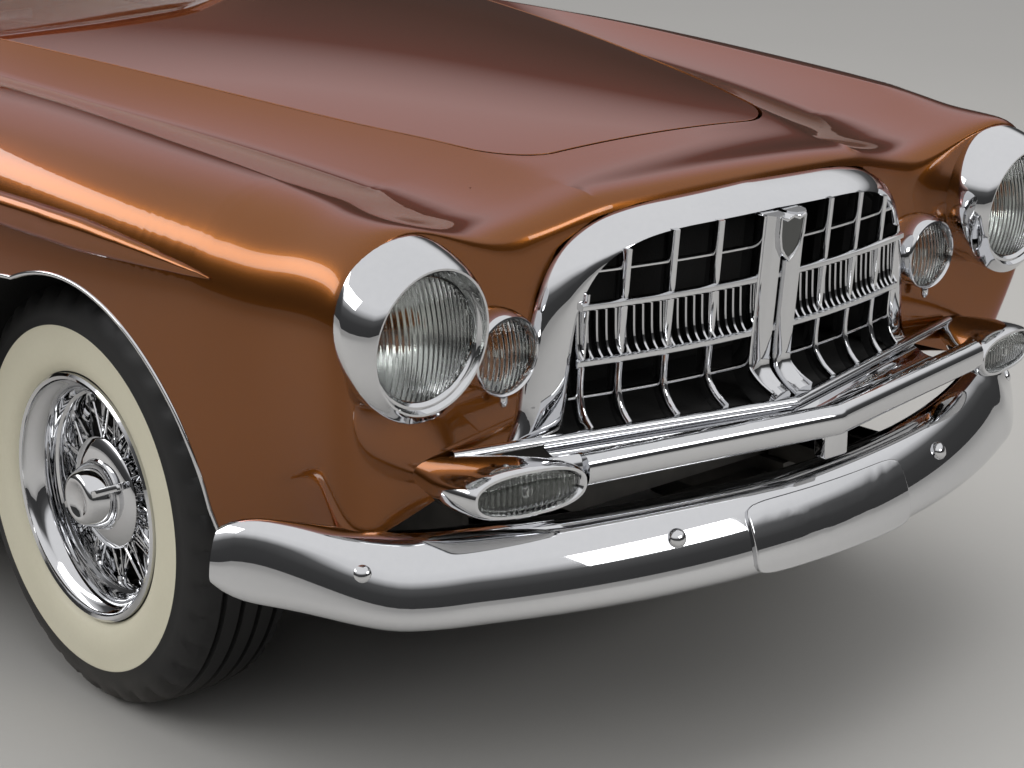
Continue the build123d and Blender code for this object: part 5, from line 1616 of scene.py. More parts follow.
# Corners of the side panes as (y, share of the height)
DOOR_PANE = ((COWL_REAR + 0.052, 0.0), (DOOR_REAR - 0.006, 0.0), (DOOR_REAR - 0.006, 0.94),
             (ROOF_FRONT + 0.062, 0.94))
QUARTER_PANE = ((DOOR_REAR + 0.008, 0.0), (REAR_WINDOW_BASE - 0.336, 0.0), (ROOF_REAR - 0.136, 0.94),
                (DOOR_REAR + 0.008, 0.94))


def side_pane(outline):
    low_front, low_rear, high_rear, high_front = (Vector(p) for p in outline)

    def place(t, up):
        start, end = low_front.lerp(high_front, up), low_rear.lerp(high_rear, up)
        y, share = start.lerp(end, t)
        return side_plane(y, share)

    return surface(spaced(0, 1, 9), spaced(0, 1, 7), place)


def side_frame(outline, size, skip=()):
    """Bright channels along the edges of a side pane."""
    parts = []
    corners = [side_plane(y, up, 0.001) for y, up in outline]
    for i, start in enumerate(corners):
        end = corners[(i + 1) % 4]
        if i not in skip:
            across = Vector((0, 0, 1)) if abs((end - start).z) < 0.05 else Vector((0, 1, 0))
            parts.append(bar_along([start.lerp(end, t) for t in spaced(0, 1, 6)], size, 0.007, across, 12, 3.0))
    return joined(*parts)


def glazing():
    """All the windows with their bright mouldings."""
    for node, window, forward in (("windshield", WINDSHIELD, -1), ("rear_window", REAR_WINDOW, 1)):
        piece(f"{node}_pane", bent_pane(window), glass(), replaces=(node,), wall=0.006, outward=(0, forward, 0.5))
    trims = joined(window_trim(WINDSHIELD, -1), window_trim(REAR_WINDOW, 1))
    piece("window_mouldings", trims, chrome(), sharp=40)
    for side in SIDES:
        body = f"door_{side}"
        piece(f"door_pane_{side}", on_side(side, side_pane(DOOR_PANE)), glass(), body=body,
              replaces=(f"door_glass_{side}",), wall=0.006, outward=(1 if side == "left" else -1, 0, 0.3))
        piece(f"door_channels_{side}", on_side(side, side_frame(DOOR_PANE, 0.009, skip=(1,))), chrome(), body=body)
    panes = both_sides(side_pane(QUARTER_PANE))
    piece("quarter_panes", panes, glass(), replaces=("quarter_windows",), wall=0.006,
          outward=lambda c: Vector((c.x, 0, 0)))
    piece("quarter_channels", both_sides(side_frame(QUARTER_PANE, 0.009)), chrome())


def belt_strip(start, end):
    """The bright strip on the belt under the side glass."""
    path = [(BELT_X + 0.016, y, BELT_Z + 0.0045) for y in spaced(start, end, 24)]
    return bar_along(path, 0.0085, 0.0045, (1, 0, 0), 12, 2.6)


def spear(start, end, fade_end):
    """The raised spear along the fender's side, sharp at its tip, ending flush at its rear where fade_end is set."""
    # Columns: height over the spear's line, how far it stands out
    rows = ((0.016, 0.0), (0.01, 0.0045), (0.003, 0.0088), (-0.003, 0.008), (-0.012, 0.0048), (-0.026, 0.0012),
            (-0.034, 0.0))
    stations = spaced(start, end, 70)
    lines = {y: side_line(y) for y in stations}

    def place(y, row):
        rise, out = rows[row]
        size = min(1.0, max(0.02, (y - start) / 0.3)) ** 0.7
        if fade_end:
            size *= min(1.0, max(0.02, (end - y) / 0.3)) ** 0.7
        z = row_at(SIDE, y)[3] + 0.004 + rise * size
        x = max(p[0] for p in sorted(lines[y], key=lambda p: abs(p[1] - z))[:2])
        return Vector((x + out * size + 0.0006, y, z))

    return surface(stations, range(len(rows)), place)


def arch_lip(wheel_arch, axle):
    """A rolled bright lip along a wheel arch."""
    start, end, radius = axle - 0.5, axle + 0.5, 0.0038
    path = []
    for y in arch_stations(wheel_arch, 60):
        z = arch_height(wheel_arch, y)
        if start < y < end and z > row_at(SIDE, y)[5] + 0.004:
            path.append((side_line(y, z)[-1][0] - 0.0008, y, z - 0.001))
    return bar_along(path, radius, radius, (1, 0, 0), 10, 2.0)


def side_handle():
    """A pull handle with its push button on the left door."""
    y, z = DOOR_REAR - 0.1, 0.868
    x = min(side_line(y), key=lambda p: abs(p[1] - z))[0]
    path = [(x + out, y + along, z) for out, along in (
        (-0.006, 0.066), (0.006, 0.058), (0.0095, 0.03), (0.01, -0.02), (0.009, -0.058), (0.004, -0.082),
        (-0.006, -0.09),
    )]
    grip = bar_along(smooth_line(path, 30), 0.0085, 0.0042, UP, 14, 2.3)
    button = moved(lathe([(0, 0.0), (0, 0.0125), (0.01, 0.0125), (0.013, 0.01), (0.0142, 0.0)], steps=28),
                   (x - 0.002, y + 0.04, z))
    return joined(grip, button)


def body_trims():
    """Bright strips, painted spears, arch lips and handles along the body's sides."""
    fixed = joined(
        belt_strip(DOOR_REAR + 0.008, REAR_WINDOW_BASE - 0.34), arch_lip(FRONT_ARCH, FRONT_AXLE),
        arch_lip(REAR_ARCH, REAR_AXLE),
    )
    piece("body_strips", both_sides(fixed), chrome(), sharp=50)
    front = spear(FRONT_AXLE - 0.455, DOOR_FRONT - SHUT_GAP - 0.002, False)
    rear = spear(DOOR_REAR + SHUT_GAP + 0.002, REAR_AXLE + 0.7, True)
    for name, part in (("spear_front", front), ("spear_rear", rear)):
        piece(name, both_sides(part), paint(), wall=0.003, outward=lambda c: Vector((c.x, 0, 0)), sharp=60)
    for side in SIDES:
        bright = joined(belt_strip(COWL_REAR + 0.06, DOOR_REAR - 0.004), side_handle())
        piece(f"door_strips_{side}", on_side(side, bright), chrome(), body=f"door_{side}", sharp=45)


def door_inside(side):
    """The inner trim panel of a door with its arm rest, pull and crank."""
    x = 0.8
    panel = surface(spaced(DOOR_FRONT + 0.03, DOOR_REAR - 0.03, 30), spaced(0.3, 0.965, 16),
                    lambda y, z: Vector((x - 0.004 + 0.006 * sin((z - 0.3) * 4.0), y, z)))
    panel = thickened(panel, -0.008)
    ribs = [bar_along([(x - 0.007, y, z) for z in spaced(0.34, 0.7, 10)], 0.014, 0.004, (0, 1, 0), 10, 2.2)
            for y in spaced(DOOR_FRONT + 0.12, DOOR_REAR - 0.1, 24)]
    rest = block((x - 0.062, x - 0.004), (DOOR_FRONT + 0.48, DOOR_FRONT + 0.86), (0.655, 0.715), 0.018, 4)
    leather_parts = joined(panel, *ribs, rest)
    piece(f"door_card_{side}", on_side(side, leather_parts), leather(), body=f"door_{side}", sharp=40)
    boss = moved(lathe([(0, 0), (0, 0.019), (-0.006, 0.019), (-0.016, 0.011), (-0.018, 0)], steps=28),
                 (x - 0.01, DOOR_FRONT + 0.36, 0.6))
    crank = bar_along([(x - 0.022, DOOR_FRONT + 0.36 + 0.085 * t, 0.6 - 0.045 * t) for t in spaced(0, 1, 6)],
                      0.0075, 0.0035, UP, 10, 2.4)
    knob = rod((x - 0.022, DOOR_FRONT + 0.44, 0.557), (x - 0.05, DOOR_FRONT + 0.44, 0.557), 0.009, 20, 0.011)
    lever = bar_along(smooth_line([(x - 0.01, DOOR_FRONT + 0.3, 0.755), (x - 0.026, DOOR_FRONT + 0.31, 0.757),
                                   (x - 0.03, DOOR_FRONT + 0.35, 0.76), (x - 0.026, DOOR_FRONT + 0.41, 0.764)], 14),
                      0.0065, 0.0035, UP, 10, 2.4)
    strip = bar_along([(x - 0.01, y, 0.725) for y in spaced(DOOR_FRONT + 0.05, DOOR_REAR - 0.05, 20)], 0.006, 0.003,
                      UP, 8, 2.4)
    piece(f"door_fittings_{side}", on_side(side, joined(boss, crank, knob, lever, strip)), satin_chrome(),
          body=f"door_{side}", sharp=40)


# Cabin
def dial(x, z, radius, y):
    """An instrument's bezel, turned about y."""
    rows = ((0.006, 0.0), (-0.006, 0.001), (-0.012, -0.004), (-0.01, -0.008), (0.0, -0.01), (0.006, -0.01),
            (0.006, 0.0))
    return moved(lathe([(along, radius + out) for along, out in rows], "Y", 48), (x, y, z))


def dashboard():
    """A padded dashboard with two round dials, a row of knobs and a glove box."""
    front = COWL_REAR - 0.055
    rows = ((0.002, 0.961), (0.1, 0.962), (0.138, 0.957), (0.16, 0.944), (0.167, 0.926), (0.165, 0.88), (0.152, 0.82),
            (0.142, 0.785), (0.128, 0.773), (0.098, 0.772), (0.04, 0.84), (0.002, 0.88))
    panel = tube([[Vector((x, front + y, z)) for y, z in rows] for x in spaced(-0.638, 0.638, 61)])
    piece("dash_panel", panel, paint(), replaces=("dashboard",), bevel=0.004, sharp=50)
    face = front + 0.17
    bright, dark, pale = [], [], []
    for x, z, radius in ((0.285, 0.868, 0.062), (0.455, 0.868, 0.062), (0.0, 0.868, 0.045)):
        bright.append(dial(x, z, radius, face))
        disc = [(0.004, 0.0), (0.004, radius - 0.009), (-0.012, radius - 0.009), (-0.012, 0.0)]
        dark.append(moved(lathe(disc, "Y", 40), (x, face - 0.002, z)))
        for k in range(11):
            angle = radians(-120 + 24 * k)
            inner, outer = radius - 0.021, radius - 0.013
            pale.append(rod((x - inner * sin(angle), face + 0.0028, z + inner * cos(angle)),
                            (x - outer * sin(angle), face + 0.0028, z + outer * cos(angle)), 0.0011, 6))
        hand = radius - 0.022
        pale.append(rod((x, face + 0.0035, z), (x + hand * 0.64, face + 0.0035, z - hand * 0.62), 0.0013, 6, 0.0006))
        bright.append(moved(lathe([(0.002, 0.0055), (0.0055, 0.0045), (0.0065, 0.0)], "Y", 20), (x, face, z)))
    for x in (-0.12, -0.08, 0.09, 0.13, 0.17, 0.57, 0.6):
        bright.append(moved(lathe([(-0.012, 0.004), (0.01, 0.004), (0.012, 0.0095), (0.022, 0.0105), (0.026, 0.008),
                                   (0.027, 0.0)], "Y", 24), (x, face - 0.01, 0.812)))
    for z in (0.948, 0.795):
        bright.append(bar_along([(x, face + (0.0 if z > 0.9 else -0.022), z) for x in spaced(-0.62, 0.62, 30)], 0.0035,
                                0.0035, UP, 10, 2.2))
    glove = surface(spaced(-0.52, -0.2, 12), spaced(0.815, 0.925, 6),
                    lambda x, z: Vector((x, face + 0.001 - 0.014 * ((0.925 - z) / 0.11) ** 2, z)))
    piece("glove_box_lid", glove, paint(), wall=0.004, bevel=0.002, outward=(0, 1, 0))
    bright.append(moved(lathe([(0.0, 0.011), (0.01, 0.011), (0.014, 0.008), (0.015, 0.0)], "Y", 24),
                        (-0.36, face + 0.002, 0.912)))
    for x in spaced(-0.085, 0.085, 12):
        dark.append(block((x - 0.0045, x + 0.0045), (face - 0.012, face + 0.003), (0.926, 0.942), 0.001, 1))
    piece("dash_fittings", joined(*bright), satin_chrome(), sharp=40)
    piece("dial_faces", joined(*dark), dark_enamel(), sharp=40)
    piece("dial_marks", joined(*pale), whitewall(), sharp=40)


STEERING_X = 0.37
COLUMN_END = Vector((STEERING_X, HOOD_REAR + 0.467, 0.8))
COLUMN_AXIS = Vector((0, 0.517, 0.24)).normalized()


def hoop(radius, thickness, steps, sides, z=0.0, wave=lambda angle: 0):
    """A round bar bent to a ring about z; wave adds to its height, angle by angle."""
    rings = []
    for angle in (2 * pi * k / steps for k in range(steps)):
        centre, out = Vector((radius * cos(angle), radius * sin(angle), z)), Vector((cos(angle), sin(angle), 0))
        rings.append([
            centre + out * (thickness * cos(a)) + Vector((0, 0, thickness * (1 + wave(angle)) * sin(a)))
            for a in (2 * pi * j / sides for j in range(sides))
        ])
    return tube([*rings, rings[0]], caps=False)


def steering_wheel():
    """A thin two-spoke wheel with finger grips and a bright horn ring."""
    turn = COLUMN_AXIS.to_track_quat("Z", "Y").to_matrix()
    place = COLUMN_END + COLUMN_AXIS * 0.06
    grip = hoop(0.212, 0.0108, 96, 14, wave=lambda angle: 0.07 * cos(angle * 36) if abs(cos(angle)) > 0.35 else 0)
    hub = lathe([(-0.058, 0.0), (-0.058, 0.026), (-0.03, 0.03), (-0.008, 0.034), (0.004, 0.034), (0.006, 0.0)], "Z", 40)
    spokes = []
    for sign in (-1, 1):
        path = [(sign * r, 0, z) for r, z in ((0.02, -0.006), (0.07, -0.004), (0.14, -0.001), (0.205, 0))]
        spokes.append(bar_along(smooth_line(path, 12), 0.014, 0.005, (0, 1, 0), 12, 2.6, lambda t: 1.0 - 0.25 * t))
    piece("steering_rim", moved(joined(grip, hub, *spokes), place, turn), steering_plastic(), body="steering_wheel",
          replaces=("steering_wheel",), sharp=45)
    cap = lathe([(0.004, 0.036), (0.009, 0.034), (0.0125, 0.026), (0.014, 0.012), (0.0143, 0.0)], "Z", 40)
    arms = [rod((sign * 0.03, 0, 0.008), (sign * 0.118, 0, 0.004), 0.003, 8) for sign in (-1, 1)]
    horn = moved(joined(hoop(0.118, 0.0036, 72, 8, 0.004), cap, *arms), place, turn)
    piece("horn_ring", horn, chrome(), body="steering_wheel", sharp=45)


CUSHION_RISE = 0.018
FILLING_FRAMES = 20


def fill(obj, sewn):
    """Fills a cushion by a cloth simulation, its sewn points held and no point pushed further than CUSHION_RISE."""
    scene = bpy.context.scene
    before = [vert.co.copy() for vert in obj.data.vertices]
    obj.vertex_groups.new(name="Seams").add(sewn, 1.0, "REPLACE")
    filling = obj.modifiers.new("Filling", "CLOTH")
    set_up(filling.settings, quality=4, mass=0.3, tension_stiffness=18, compression_stiffness=18, bending_stiffness=0.8,
           vertex_group_mass="Seams", use_pressure=True, uniform_pressure_force=4.0)
    filling.settings.effector_weights.gravity = 0.0
    set_up(filling.point_cache, frame_start=1, frame_end=FILLING_FRAMES)
    for number in range(1, FILLING_FRAMES + 1):
        scene.frame_set(number)
    bpy.ops.object.modifier_apply(modifier=filling.name)
    scene.frame_set(1)
    for vert, start in zip(obj.data.vertices, before):
        step = vert.co - start
        if step.length > CUSHION_RISE:
            vert.co = start + step * (CUSHION_RISE / step.length)
    obj.vertex_groups.clear()


def blown(name, bm, seams, replaces=()):
    """A filled cushion from its closed blank; seams says for a point whether a sewn channel holds it."""
    bmesh.ops.recalc_face_normals(bm, faces=bm.faces)
    obj = mesh_object(name, bm)
    bpy.context.view_layer.objects.active = obj
    obj.select_set(True)
    even = set_up(obj.modifiers.new("Even mesh", "REMESH"), mode="VOXEL",
                  voxel_size=bpy.context.scene.hardtop_cabin.cushion_mesh)
    bpy.ops.object.modifier_apply(modifier=even.name)
    fill(obj, [vert.index for vert in obj.data.vertices if seams(vert.co)])
    obj.select_set(False)
    for polygon in obj.data.polygons:
        polygon.use_smooth = True
    set_up(obj.modifiers.new("Smoothing", "SUBSURF"), levels=1, render_levels=1)
    obj.data.materials.append(leather())
    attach(obj, "body")
    if replaces:
        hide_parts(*replaces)


def channel_seams(pitch, start, depth_test):
    """Sewn channels that repeat along x, where depth_test says which points the stitching reaches."""
    def stitched(point):
        offset = (abs(point.x) - start) / pitch
        return depth_test(point) and abs(offset - round(offset)) * pitch < 0.006

    return stitched


def leaning_block(x, low_y, high_y, z):
    """A block whose front and back faces lean, from y limits at its foot and at its head."""
    bm = block(x, (0, 1), z)
    for vert in bm.verts:
        limits = low_y if vert.co.z < sum(z) / 2 else high_y
        vert.co.y = limits[0] if vert.co.y < 0.5 else limits[1]
    return rounded(bm, 0.03, 4)


def piping(loop):
    """A welt round a cushion's upper edge, from its corners."""
    points = [Vector(p) for p in (*loop, loop[0])]
    dense = [a.lerp(b, t) for a, b in zip(points, points[1:]) for t in (0.0, 0.08, 0.3, 0.7, 0.92)]
    return bar_along(smooth_line([*dense, dense[0]], 60), 0.0042, 0.0042, UP, 8, 2.0)


SEAT_FRONT = COWL_REAR + 0.4266
REAR_SEAT_FRONT = REAR_AXLE - 0.74
FLOOR_TOP = 0.3355
BACK_FOOT = 0.566


def seats():
    """The split front bench and the rear bench, their cushions filled and sewn in channels."""
    def on_top(limit):
        return lambda point: point.z > limit

    def on_front(foot, lean):
        """Which points lie on a back rest's leaning front face, whose foot is at that y."""
        return lambda point: point.y < foot + (point.z - BACK_FOOT) * lean + 0.012 and point.z > 0.62

    for side in SIDES:
        first = side == "left"
        blank = block((0.17, 0.622), (SEAT_FRONT + 0.016, SEAT_FRONT + 0.436), (0.452, 0.543), 0.028, 4)
        blown(f"front_cushion_{side}", on_side(side, blank), channel_seams(0.0565, 0.17, on_top(0.535)),
              replaces=("front_seat",) if first else ())
        back = leaning_block((0.018, 0.622), (SEAT_FRONT + 0.455, SEAT_FRONT + 0.545),
                             (SEAT_FRONT + 0.558, SEAT_FRONT + 0.636), (BACK_FOOT, 0.996))
        blown(f"front_back_{side}", on_side(side, back),
              channel_seams(0.0604, 0.018, on_front(SEAT_FRONT + 0.455, 0.103 / 0.43)))
        rear = block((0.17, 0.54), (REAR_SEAT_FRONT + 0.014, REAR_SEAT_FRONT + 0.352), (0.44, 0.54), 0.028, 4)
        blown(f"rear_cushion_{side}", on_side(side, rear), channel_seams(0.0617, 0.17, on_top(0.532)),
              replaces=("rear_seat",) if first else ())
    rear_back = leaning_block((-0.54, 0.54), (REAR_SEAT_FRONT + 0.325, REAR_SEAT_FRONT + 0.445),
                              (REAR_SEAT_FRONT + 0.408, REAR_SEAT_FRONT + 0.445), (BACK_FOOT, 0.935))
    blown("rear_back", rear_back, channel_seams(0.06, 0.0, on_front(REAR_SEAT_FRONT + 0.325, 0.225)))
    bases = []
    for front, depth, half in ((SEAT_FRONT, 0.47, 0.626), (REAR_SEAT_FRONT, 0.448, 0.545)):
        half_block = block((0.162, half), (front + 0.02, front + depth), (FLOOR_TOP + 0.008, 0.458), 0.012, 2)
        middle = block((-0.152, 0.152), (front + 0.02, front + 0.35), (0.5425, 0.559), 0.007, 2)
        bases += [both_sides(half_block), middle]
    piece("seat_bases", joined(*bases), leather(), sharp=40)
    corners = ((0.176, 0.02), (0.616, 0.02), (0.616, 0.43), (0.176, 0.43))
    welts = [piping([(sign * x, SEAT_FRONT + y, 0.548) for x, y in corners]) for sign in (-1, 1)]
    piece("seat_piping", joined(*welts), leather(), sharp=50)


# Trunk, underside and what the frame keeps
def headlining():
    """The cloth under the roof with its bows, the inside mirror and the sun visors."""
    lining = surface(spaced(-0.93, 0.93, 31), spaced(0.04, 0.96, 25),
                     lambda share, along: roof_point(share, along) + Vector((0, 0, -0.03)))
    piece("headlining", lining, headliner(), outward=(0, 0, -1), wall=0.003)
    bows = [bar_along([roof_point(share, along) + Vector((0, 0, -0.034)) for share in spaced(-0.9, 0.9, 31)], 0.004,
                      0.003, (0, 1, 0), 8, 2.2) for along in (0.25, 0.45, 0.65, 0.85)]
    piece("headlining_bows", joined(*bows), headliner())
    mirror = block((-0.105, 0.105), (ROOF_FRONT + 0.03, ROOF_FRONT + 0.044), (1.315, 1.365), 0.006, 3)
    stem = rod((0, ROOF_FRONT + 0.03, 1.35), (0, ROOF_FRONT + 0.03, 1.412), 0.006, 16)
    piece("inside_mirror", joined(mirror, stem), satin_chrome(), sharp=40)
    visors = [block((x - 0.185, x + 0.185), (ROOF_FRONT + 0.045, ROOF_FRONT + 0.175), (1.4, 1.412), 0.005, 2)
              for x in (-0.3, 0.3)]
    piece("sun_visors", joined(*visors), headliner())


def carpets():
    """Carpet on the floor and over the tunnel, and the three pedals."""
    front, step = DOOR_FRONT - 0.028, REAR_AXLE - 0.28
    mat = block((0.1515, 0.772), (front, step - 0.449), (FLOOR_TOP + 0.0005, FLOOR_TOP + 0.0065), 0.002, 1)
    tunnel_side = block((0.1505, 0.1555), (front, step - 0.004), (FLOOR_TOP + 0.002, 0.54), 0.001, 1)
    tunnel_top = block((-0.1525, 0.1525), (front, step - 0.004), (0.5355, 0.5415), 0.002, 1)
    piece("carpets", joined(both_sides(joined(mat, tunnel_side)), tunnel_top), carpet(), sharp=40)
    pedals = []
    y = DOOR_FRONT + 0.095
    for x, z, wide in ((0.33, 0.47, 0.035), (0.445, 0.47, 0.035), (0.235, 0.42, 0.022)):
        pedals.append(block((x - wide, x + wide), (y, y + 0.013), (z - 0.035, z + 0.035), 0.004, 2))
        pedals.append(rod((x, y + 0.005, z), (x, y - 0.121, z + 0.15), 0.007, 12))
    piece("pedals", joined(*pedals), black_paint(), sharp=40)


def tail_lamps():
    rows = ((-0.06, 0.044), (-0.058, 0.0475), (-0.034, 0.0479), (-0.026, 0.047), (-0.022, 0.0445), (-0.024, 0.042),
            (-0.034, 0.041), (-0.06, 0.041))
    ring = moved(lathe((*rows, rows[0]), "Y", 56), (0.628, TAIL_Y + 0.06, 0.64))
    dome = [(-0.034 + 0.032 * (1 - t * t), 0.0408 * t) for t in spaced(0, 1, 12)] + [(-0.05, 0.04), (-0.05, 0.0)]
    glass_part = moved(lathe(dome, "Y", 56), (0.628, TAIL_Y + 0.06, 0.64))
    piece("tail_lamp_rings", both_sides(ring), chrome(), sharp=42)
    piece("tail_lamp_glasses", both_sides(glass_part), red_lens(), replaces=("tail_lamps",), sharp=50)


def lid_handle():
    """The trunk lid's handle with its lock."""
    y, z = REAR_AXLE + 1.1385, 0.61
    path = [(x, y + out, z) for x, out in ((-0.085, -0.004), (-0.07, 0.014), (-0.03, 0.02), (0, 0.021),
                                           (0.03, 0.02), (0.07, 0.014), (0.085, -0.004))]
    bar = bar_along(smooth_line(path, 30), 0.01, 0.006, UP, 14, 2.3)
    plate = block((-0.045, 0.045), (y - 0.003, y + 0.005), (z - 0.032, z - 0.014), 0.003, 2)
    lock = moved(lathe([(0, 0.0115), (0.005, 0.011), (0.008, 0.008), (0.008, 0)], "Y", 28), (0, y + 0.003, z - 0.045))
    piece("lid_handle", joined(bar, plate, lock), chrome(), body="trunk_lid", sharp=42)


def exhaust_tip():
    tip = lathe([(-0.085, 0.0285), (-0.08, 0.03), (0.0, 0.0305), (0.004, 0.0295), (0.0, 0.027), (-0.03, 0.0262),
                 (-0.085, 0.0262), (-0.085, 0.0285)], "Y", 40)
    piece("exhaust_tip", moved(tip, (-0.235, TAIL_Y - 0.006, 0.25)), chrome(), sharp=42)


def wheel_houses():
    """Dark liners over the wheels."""
    parts = []
    for wheel_arch, inner in ((FRONT_ARCH, 0.4), (REAR_ARCH, 0.575)):
        start, end = arch_limits(wheel_arch)
        ys = [y for y in arch_stations(wheel_arch, 30) if start + 0.002 < y < end - 0.002]

        def place(t, k, ys=ys, wheel_arch=wheel_arch, inner=inner):
            y = ys[k]
            z = max(arch_height(wheel_arch, y), row_at(SIDE, y)[5] + 0.02) + 0.012
            x = side_line(y, z)[-1][0] - 0.024
            return Vector((inner + (x - inner) * t, y, z + 0.01 * sin(pi * t)))

        parts.append(surface(spaced(0, 1, 8), range(len(ys)), place))
    bm = both_sides(joined(*parts))
    piece("wheel_houses", bm, dark_liner(), wall=0.003, outward=(0, 0, -1))


KEPT_BLACK = (
    "frame_rail_left", "frame_rail_right", "frame_cross_members", "floor_pan", "inner_fenders", "steering_column",
    "front_suspension", "rear_axle", "knuckle_front_left", "knuckle_front_right", "fuel_tank", "radiator",
)


def finish_kept():
    """Gives the nodes that no piece replaces a finish of their own."""
    for names, make in ((KEPT_BLACK, black_paint), (("engine",), cast_iron), (("exhaust",), exhaust_steel)):
        for name in names:
            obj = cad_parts[name]
            for slot in obj.material_slots:
                slot.material = make()
            if not obj.material_slots:
                obj.data.materials.append(make())


class HARDTOP_OT_glass(bpy.types.Operator):
    """Builds the windows, the bright strips and the door trims"""

    bl_idname = "hardtop.glass"
    bl_label = "Glass and Trims"

    def execute(self, context):
        glazing()
        body_trims()
        for side in SIDES:
            door_inside(side)
        return {"FINISHED"}


class HARDTOP_OT_cabin(bpy.types.Operator):
    """Builds the dashboard, the steering wheel, the carpets, the pedals and the headlining"""

    bl_idname = "hardtop.cabin"
    bl_label = "Cabin"

    def execute(self, context):
        dashboard()
        steering_wheel()
        carpets()
        headlining()
        return {"FINISHED"}


class HARDTOP_OT_seats(bpy.types.Operator):
    """Fills and sews the seats"""

    bl_idname = "hardtop.seats"
    bl_label = "Seats"

    def execute(self, context):
        seats()
        return {"FINISHED"}


class HARDTOP_OT_rear(bpy.types.Operator):
    """Builds the tail's fittings and the wheel houses and finishes what the frame keeps"""

    bl_idname = "hardtop.rear"
    bl_label = "Tail and Underside"

    def execute(self, context):
        tail_lamps()
        lid_handle()
        exhaust_tip()
        wheel_houses()
        finish_kept()
        return {"FINISHED"}


# Under the bonnet
def fan(place):
    """A five-bladed fan with its two belt pulleys."""
    hub = [(-0.012, 0.0), (-0.012, 0.034), (0.0, 0.046), (0.012, 0.034), (0.125, 0.03), (0.125, 0.0)]
    parts = [lathe(hub, "Y", 32)]
    outline = ((-0.03, 0.03), (-0.045, 0.185), (-0.02, 0.198), (0.03, 0.19), (0.022, 0.03))
    for k in range(5):
        blade = plate_of(outline, 0.0012, 0.0004)
        for degrees, axis in ((90, "X"), (28, "Z"), (72 * k, "Y")):
            moved(blade, turn=rotation(degrees, axis))
        parts.append(blade)
    parts += [moved(lathe([(a, 0.0), (a, 0.072), (a + 0.008, 0.064), (a + 0.016, 0.072), (a + 0.016, 0.0)], "Y", 40),
                    (0, 0.085, z)) for a, z in ((0.0, 0.0), (0.0, -0.24))]
    return moved(joined(*parts), place)


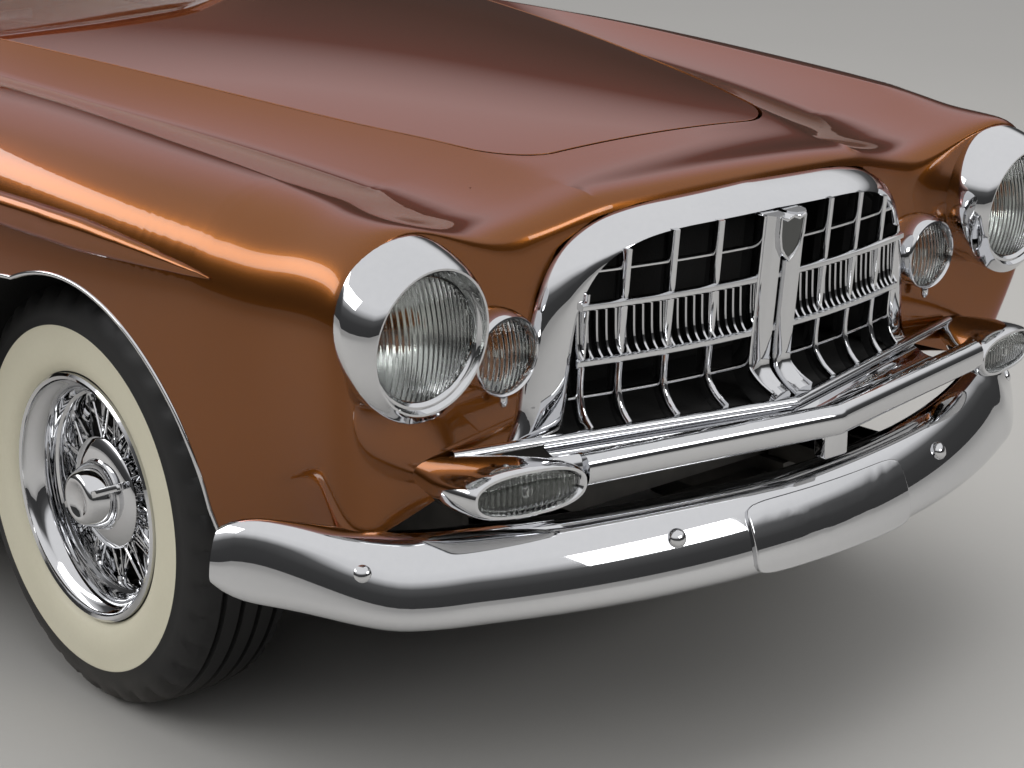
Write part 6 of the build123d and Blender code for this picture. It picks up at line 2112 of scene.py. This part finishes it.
def under_bonnet():
    """The engine's covers, inlet, air cleaner, fan, generator, hose and leads."""
    front, rear, top = FRONT_AXLE + 0.07, FRONT_AXLE + 0.86, 0.86
    covers = []
    ribs = []
    leads = []
    castings = [block((-0.105, 0.105), (front + 0.1, rear - 0.16), (top - 0.01, top + 0.022), 0.01)]
    for sign in (-1, 1):
        turn = rotation(sign * 30, "Y")
        place = (sign * 0.168, 0, top - 0.05)
        covers.append(moved(block((-0.064, 0.064), (front + 0.04, rear - 0.08), (0.0, 0.07), 0.018, 4), place, turn))
        for k in range(9):
            y = front + 0.1 + k * 0.068
            ribs.append(moved(block((-0.046, 0.046), (y, y + 0.009), (0.066, 0.0745), 0.002), place, turn))
        for k in range(4):
            y = front + 0.14 + k * 0.155
            castings.append(rod((0, y, top + 0.006), (sign * 0.15, y, top - 0.004), 0.021, 16))
            path = [(sign * 0.012, rear - 0.085, top + 0.07), (sign * 0.05, (y + rear) / 2, top + 0.082),
                    (sign * 0.125, y + 0.02, top + 0.06), (sign * 0.19, y, top + 0.02)]
            leads.append(bar_along(smooth_line(path, 18), 0.0038, 0.0038, UP, 8, 2.0))
    castings.append(moved(lathe([(-0.1, 0.0), (-0.1, 0.052), (-0.09, 0.056), (0.09, 0.056), (0.1, 0.052), (0.1, 0.0)],
                                "Y", 36), (0.235, front + 0.02, 0.7)))
    castings.append(moved(lathe([(0.0, 0.0), (0.0, 0.036), (0.045, 0.038), (0.05, 0.044), (0.072, 0.04), (0.076, 0.0)],
                                "Z", 28), (0, rear - 0.085, top)))
    cleaner = lathe([
        (-0.03, 0.0), (-0.03, 0.045), (0.004, 0.048), (0.006, 0.15), (0.014, 0.172), (0.058, 0.172), (0.066, 0.166),
        (0.072, 0.12), (0.08, 0.05), (0.082, 0.022), (0.098, 0.016), (0.101, 0.0),
    ], "Z", 72)
    cap = moved(lathe([(0.0, 0.0), (0.0, 0.03), (0.01, 0.031), (0.016, 0.026), (0.02, 0.0)], "Z", 32),
                (0, FRONT_AXLE - 0.4625, 0.879))
    hose = bar_along(smooth_line([(0.1, FRONT_AXLE - 0.436, 0.835), (0.1, FRONT_AXLE - 0.3, 0.85),
                                  (0.085, front - 0.12, 0.842), (0.07, front + 0.012, 0.815)], 24), 0.021, 0.021,
                     (1, 0, 0), 18, 2.0)
    piece("engine_covers", joined(*covers, moved(cleaner, (0, front + 0.34, top + 0.035))), dark_enamel(), sharp=45)
    piece("engine_ribs", joined(*ribs, cap), satin_chrome(), sharp=45)
    piece("engine_castings", joined(*castings), cast_iron(), bevel=0.0015, sharp=45)
    piece("engine_fan", fan((0, front - 0.12, 0.64)), black_paint(), sharp=40)
    piece("engine_hose_and_leads", joined(hose, *leads), rubber(), sharp=50)


class HARDTOP_OT_engine(bpy.types.Operator):
    """Dresses the engine under the bonnet"""

    bl_idname = "hardtop.engine"
    bl_label = "Engine Bay"

    def execute(self, context):
        under_bonnet()
        return {"FINISHED"}


SETTINGS = {
    "hardtop_paint": HardtopPaint, "hardtop_cabin": HardtopCabin, "hardtop_studio": HardtopStudio,
    "hardtop_wheels": HardtopWheels, "hardtop_grille": HardtopGrille,
}
OPERATORS = (
    HARDTOP_OT_studio, HARDTOP_OT_panels, HARDTOP_OT_wheels, HARDTOP_OT_grille, HARDTOP_OT_bright, HARDTOP_OT_glass,
    HARDTOP_OT_cabin, HARDTOP_OT_seats, HARDTOP_OT_rear, HARDTOP_OT_engine,
)


class HARDTOP_PT_sidebar(bpy.types.Panel):
    """Lists the steps and their settings"""

    bl_idname = "HARDTOP_PT_sidebar"
    bl_label = "Hardtop"
    bl_space_type = "VIEW_3D"
    bl_region_type = "UI"
    bl_category = "Hardtop"

    def draw(self, context):
        for name, cls in SETTINGS.items():
            box = self.layout.box()
            for prop in cls.__annotations__:
                box.prop(getattr(context.scene, name), prop)
        for operator in OPERATORS:
            self.layout.operator(operator.bl_idname)


def register():
    for cls in (*SETTINGS.values(), *OPERATORS, HARDTOP_PT_sidebar):
        bpy.utils.register_class(cls)
    for name, cls in SETTINGS.items():
        setattr(bpy.types.Scene, name, bpy.props.PointerProperty(type=cls))


def unregister():
    for name in SETTINGS:
        delattr(bpy.types.Scene, name)
    for cls in (HARDTOP_PT_sidebar, *reversed(OPERATORS), *reversed(SETTINGS.values())):
        bpy.utils.unregister_class(cls)


def main():
    register()
    for operator in OPERATORS:
        group, name = operator.bl_idname.split(".")
        getattr(getattr(bpy.ops, group), name)()


if __name__ == "__main__":
    main()
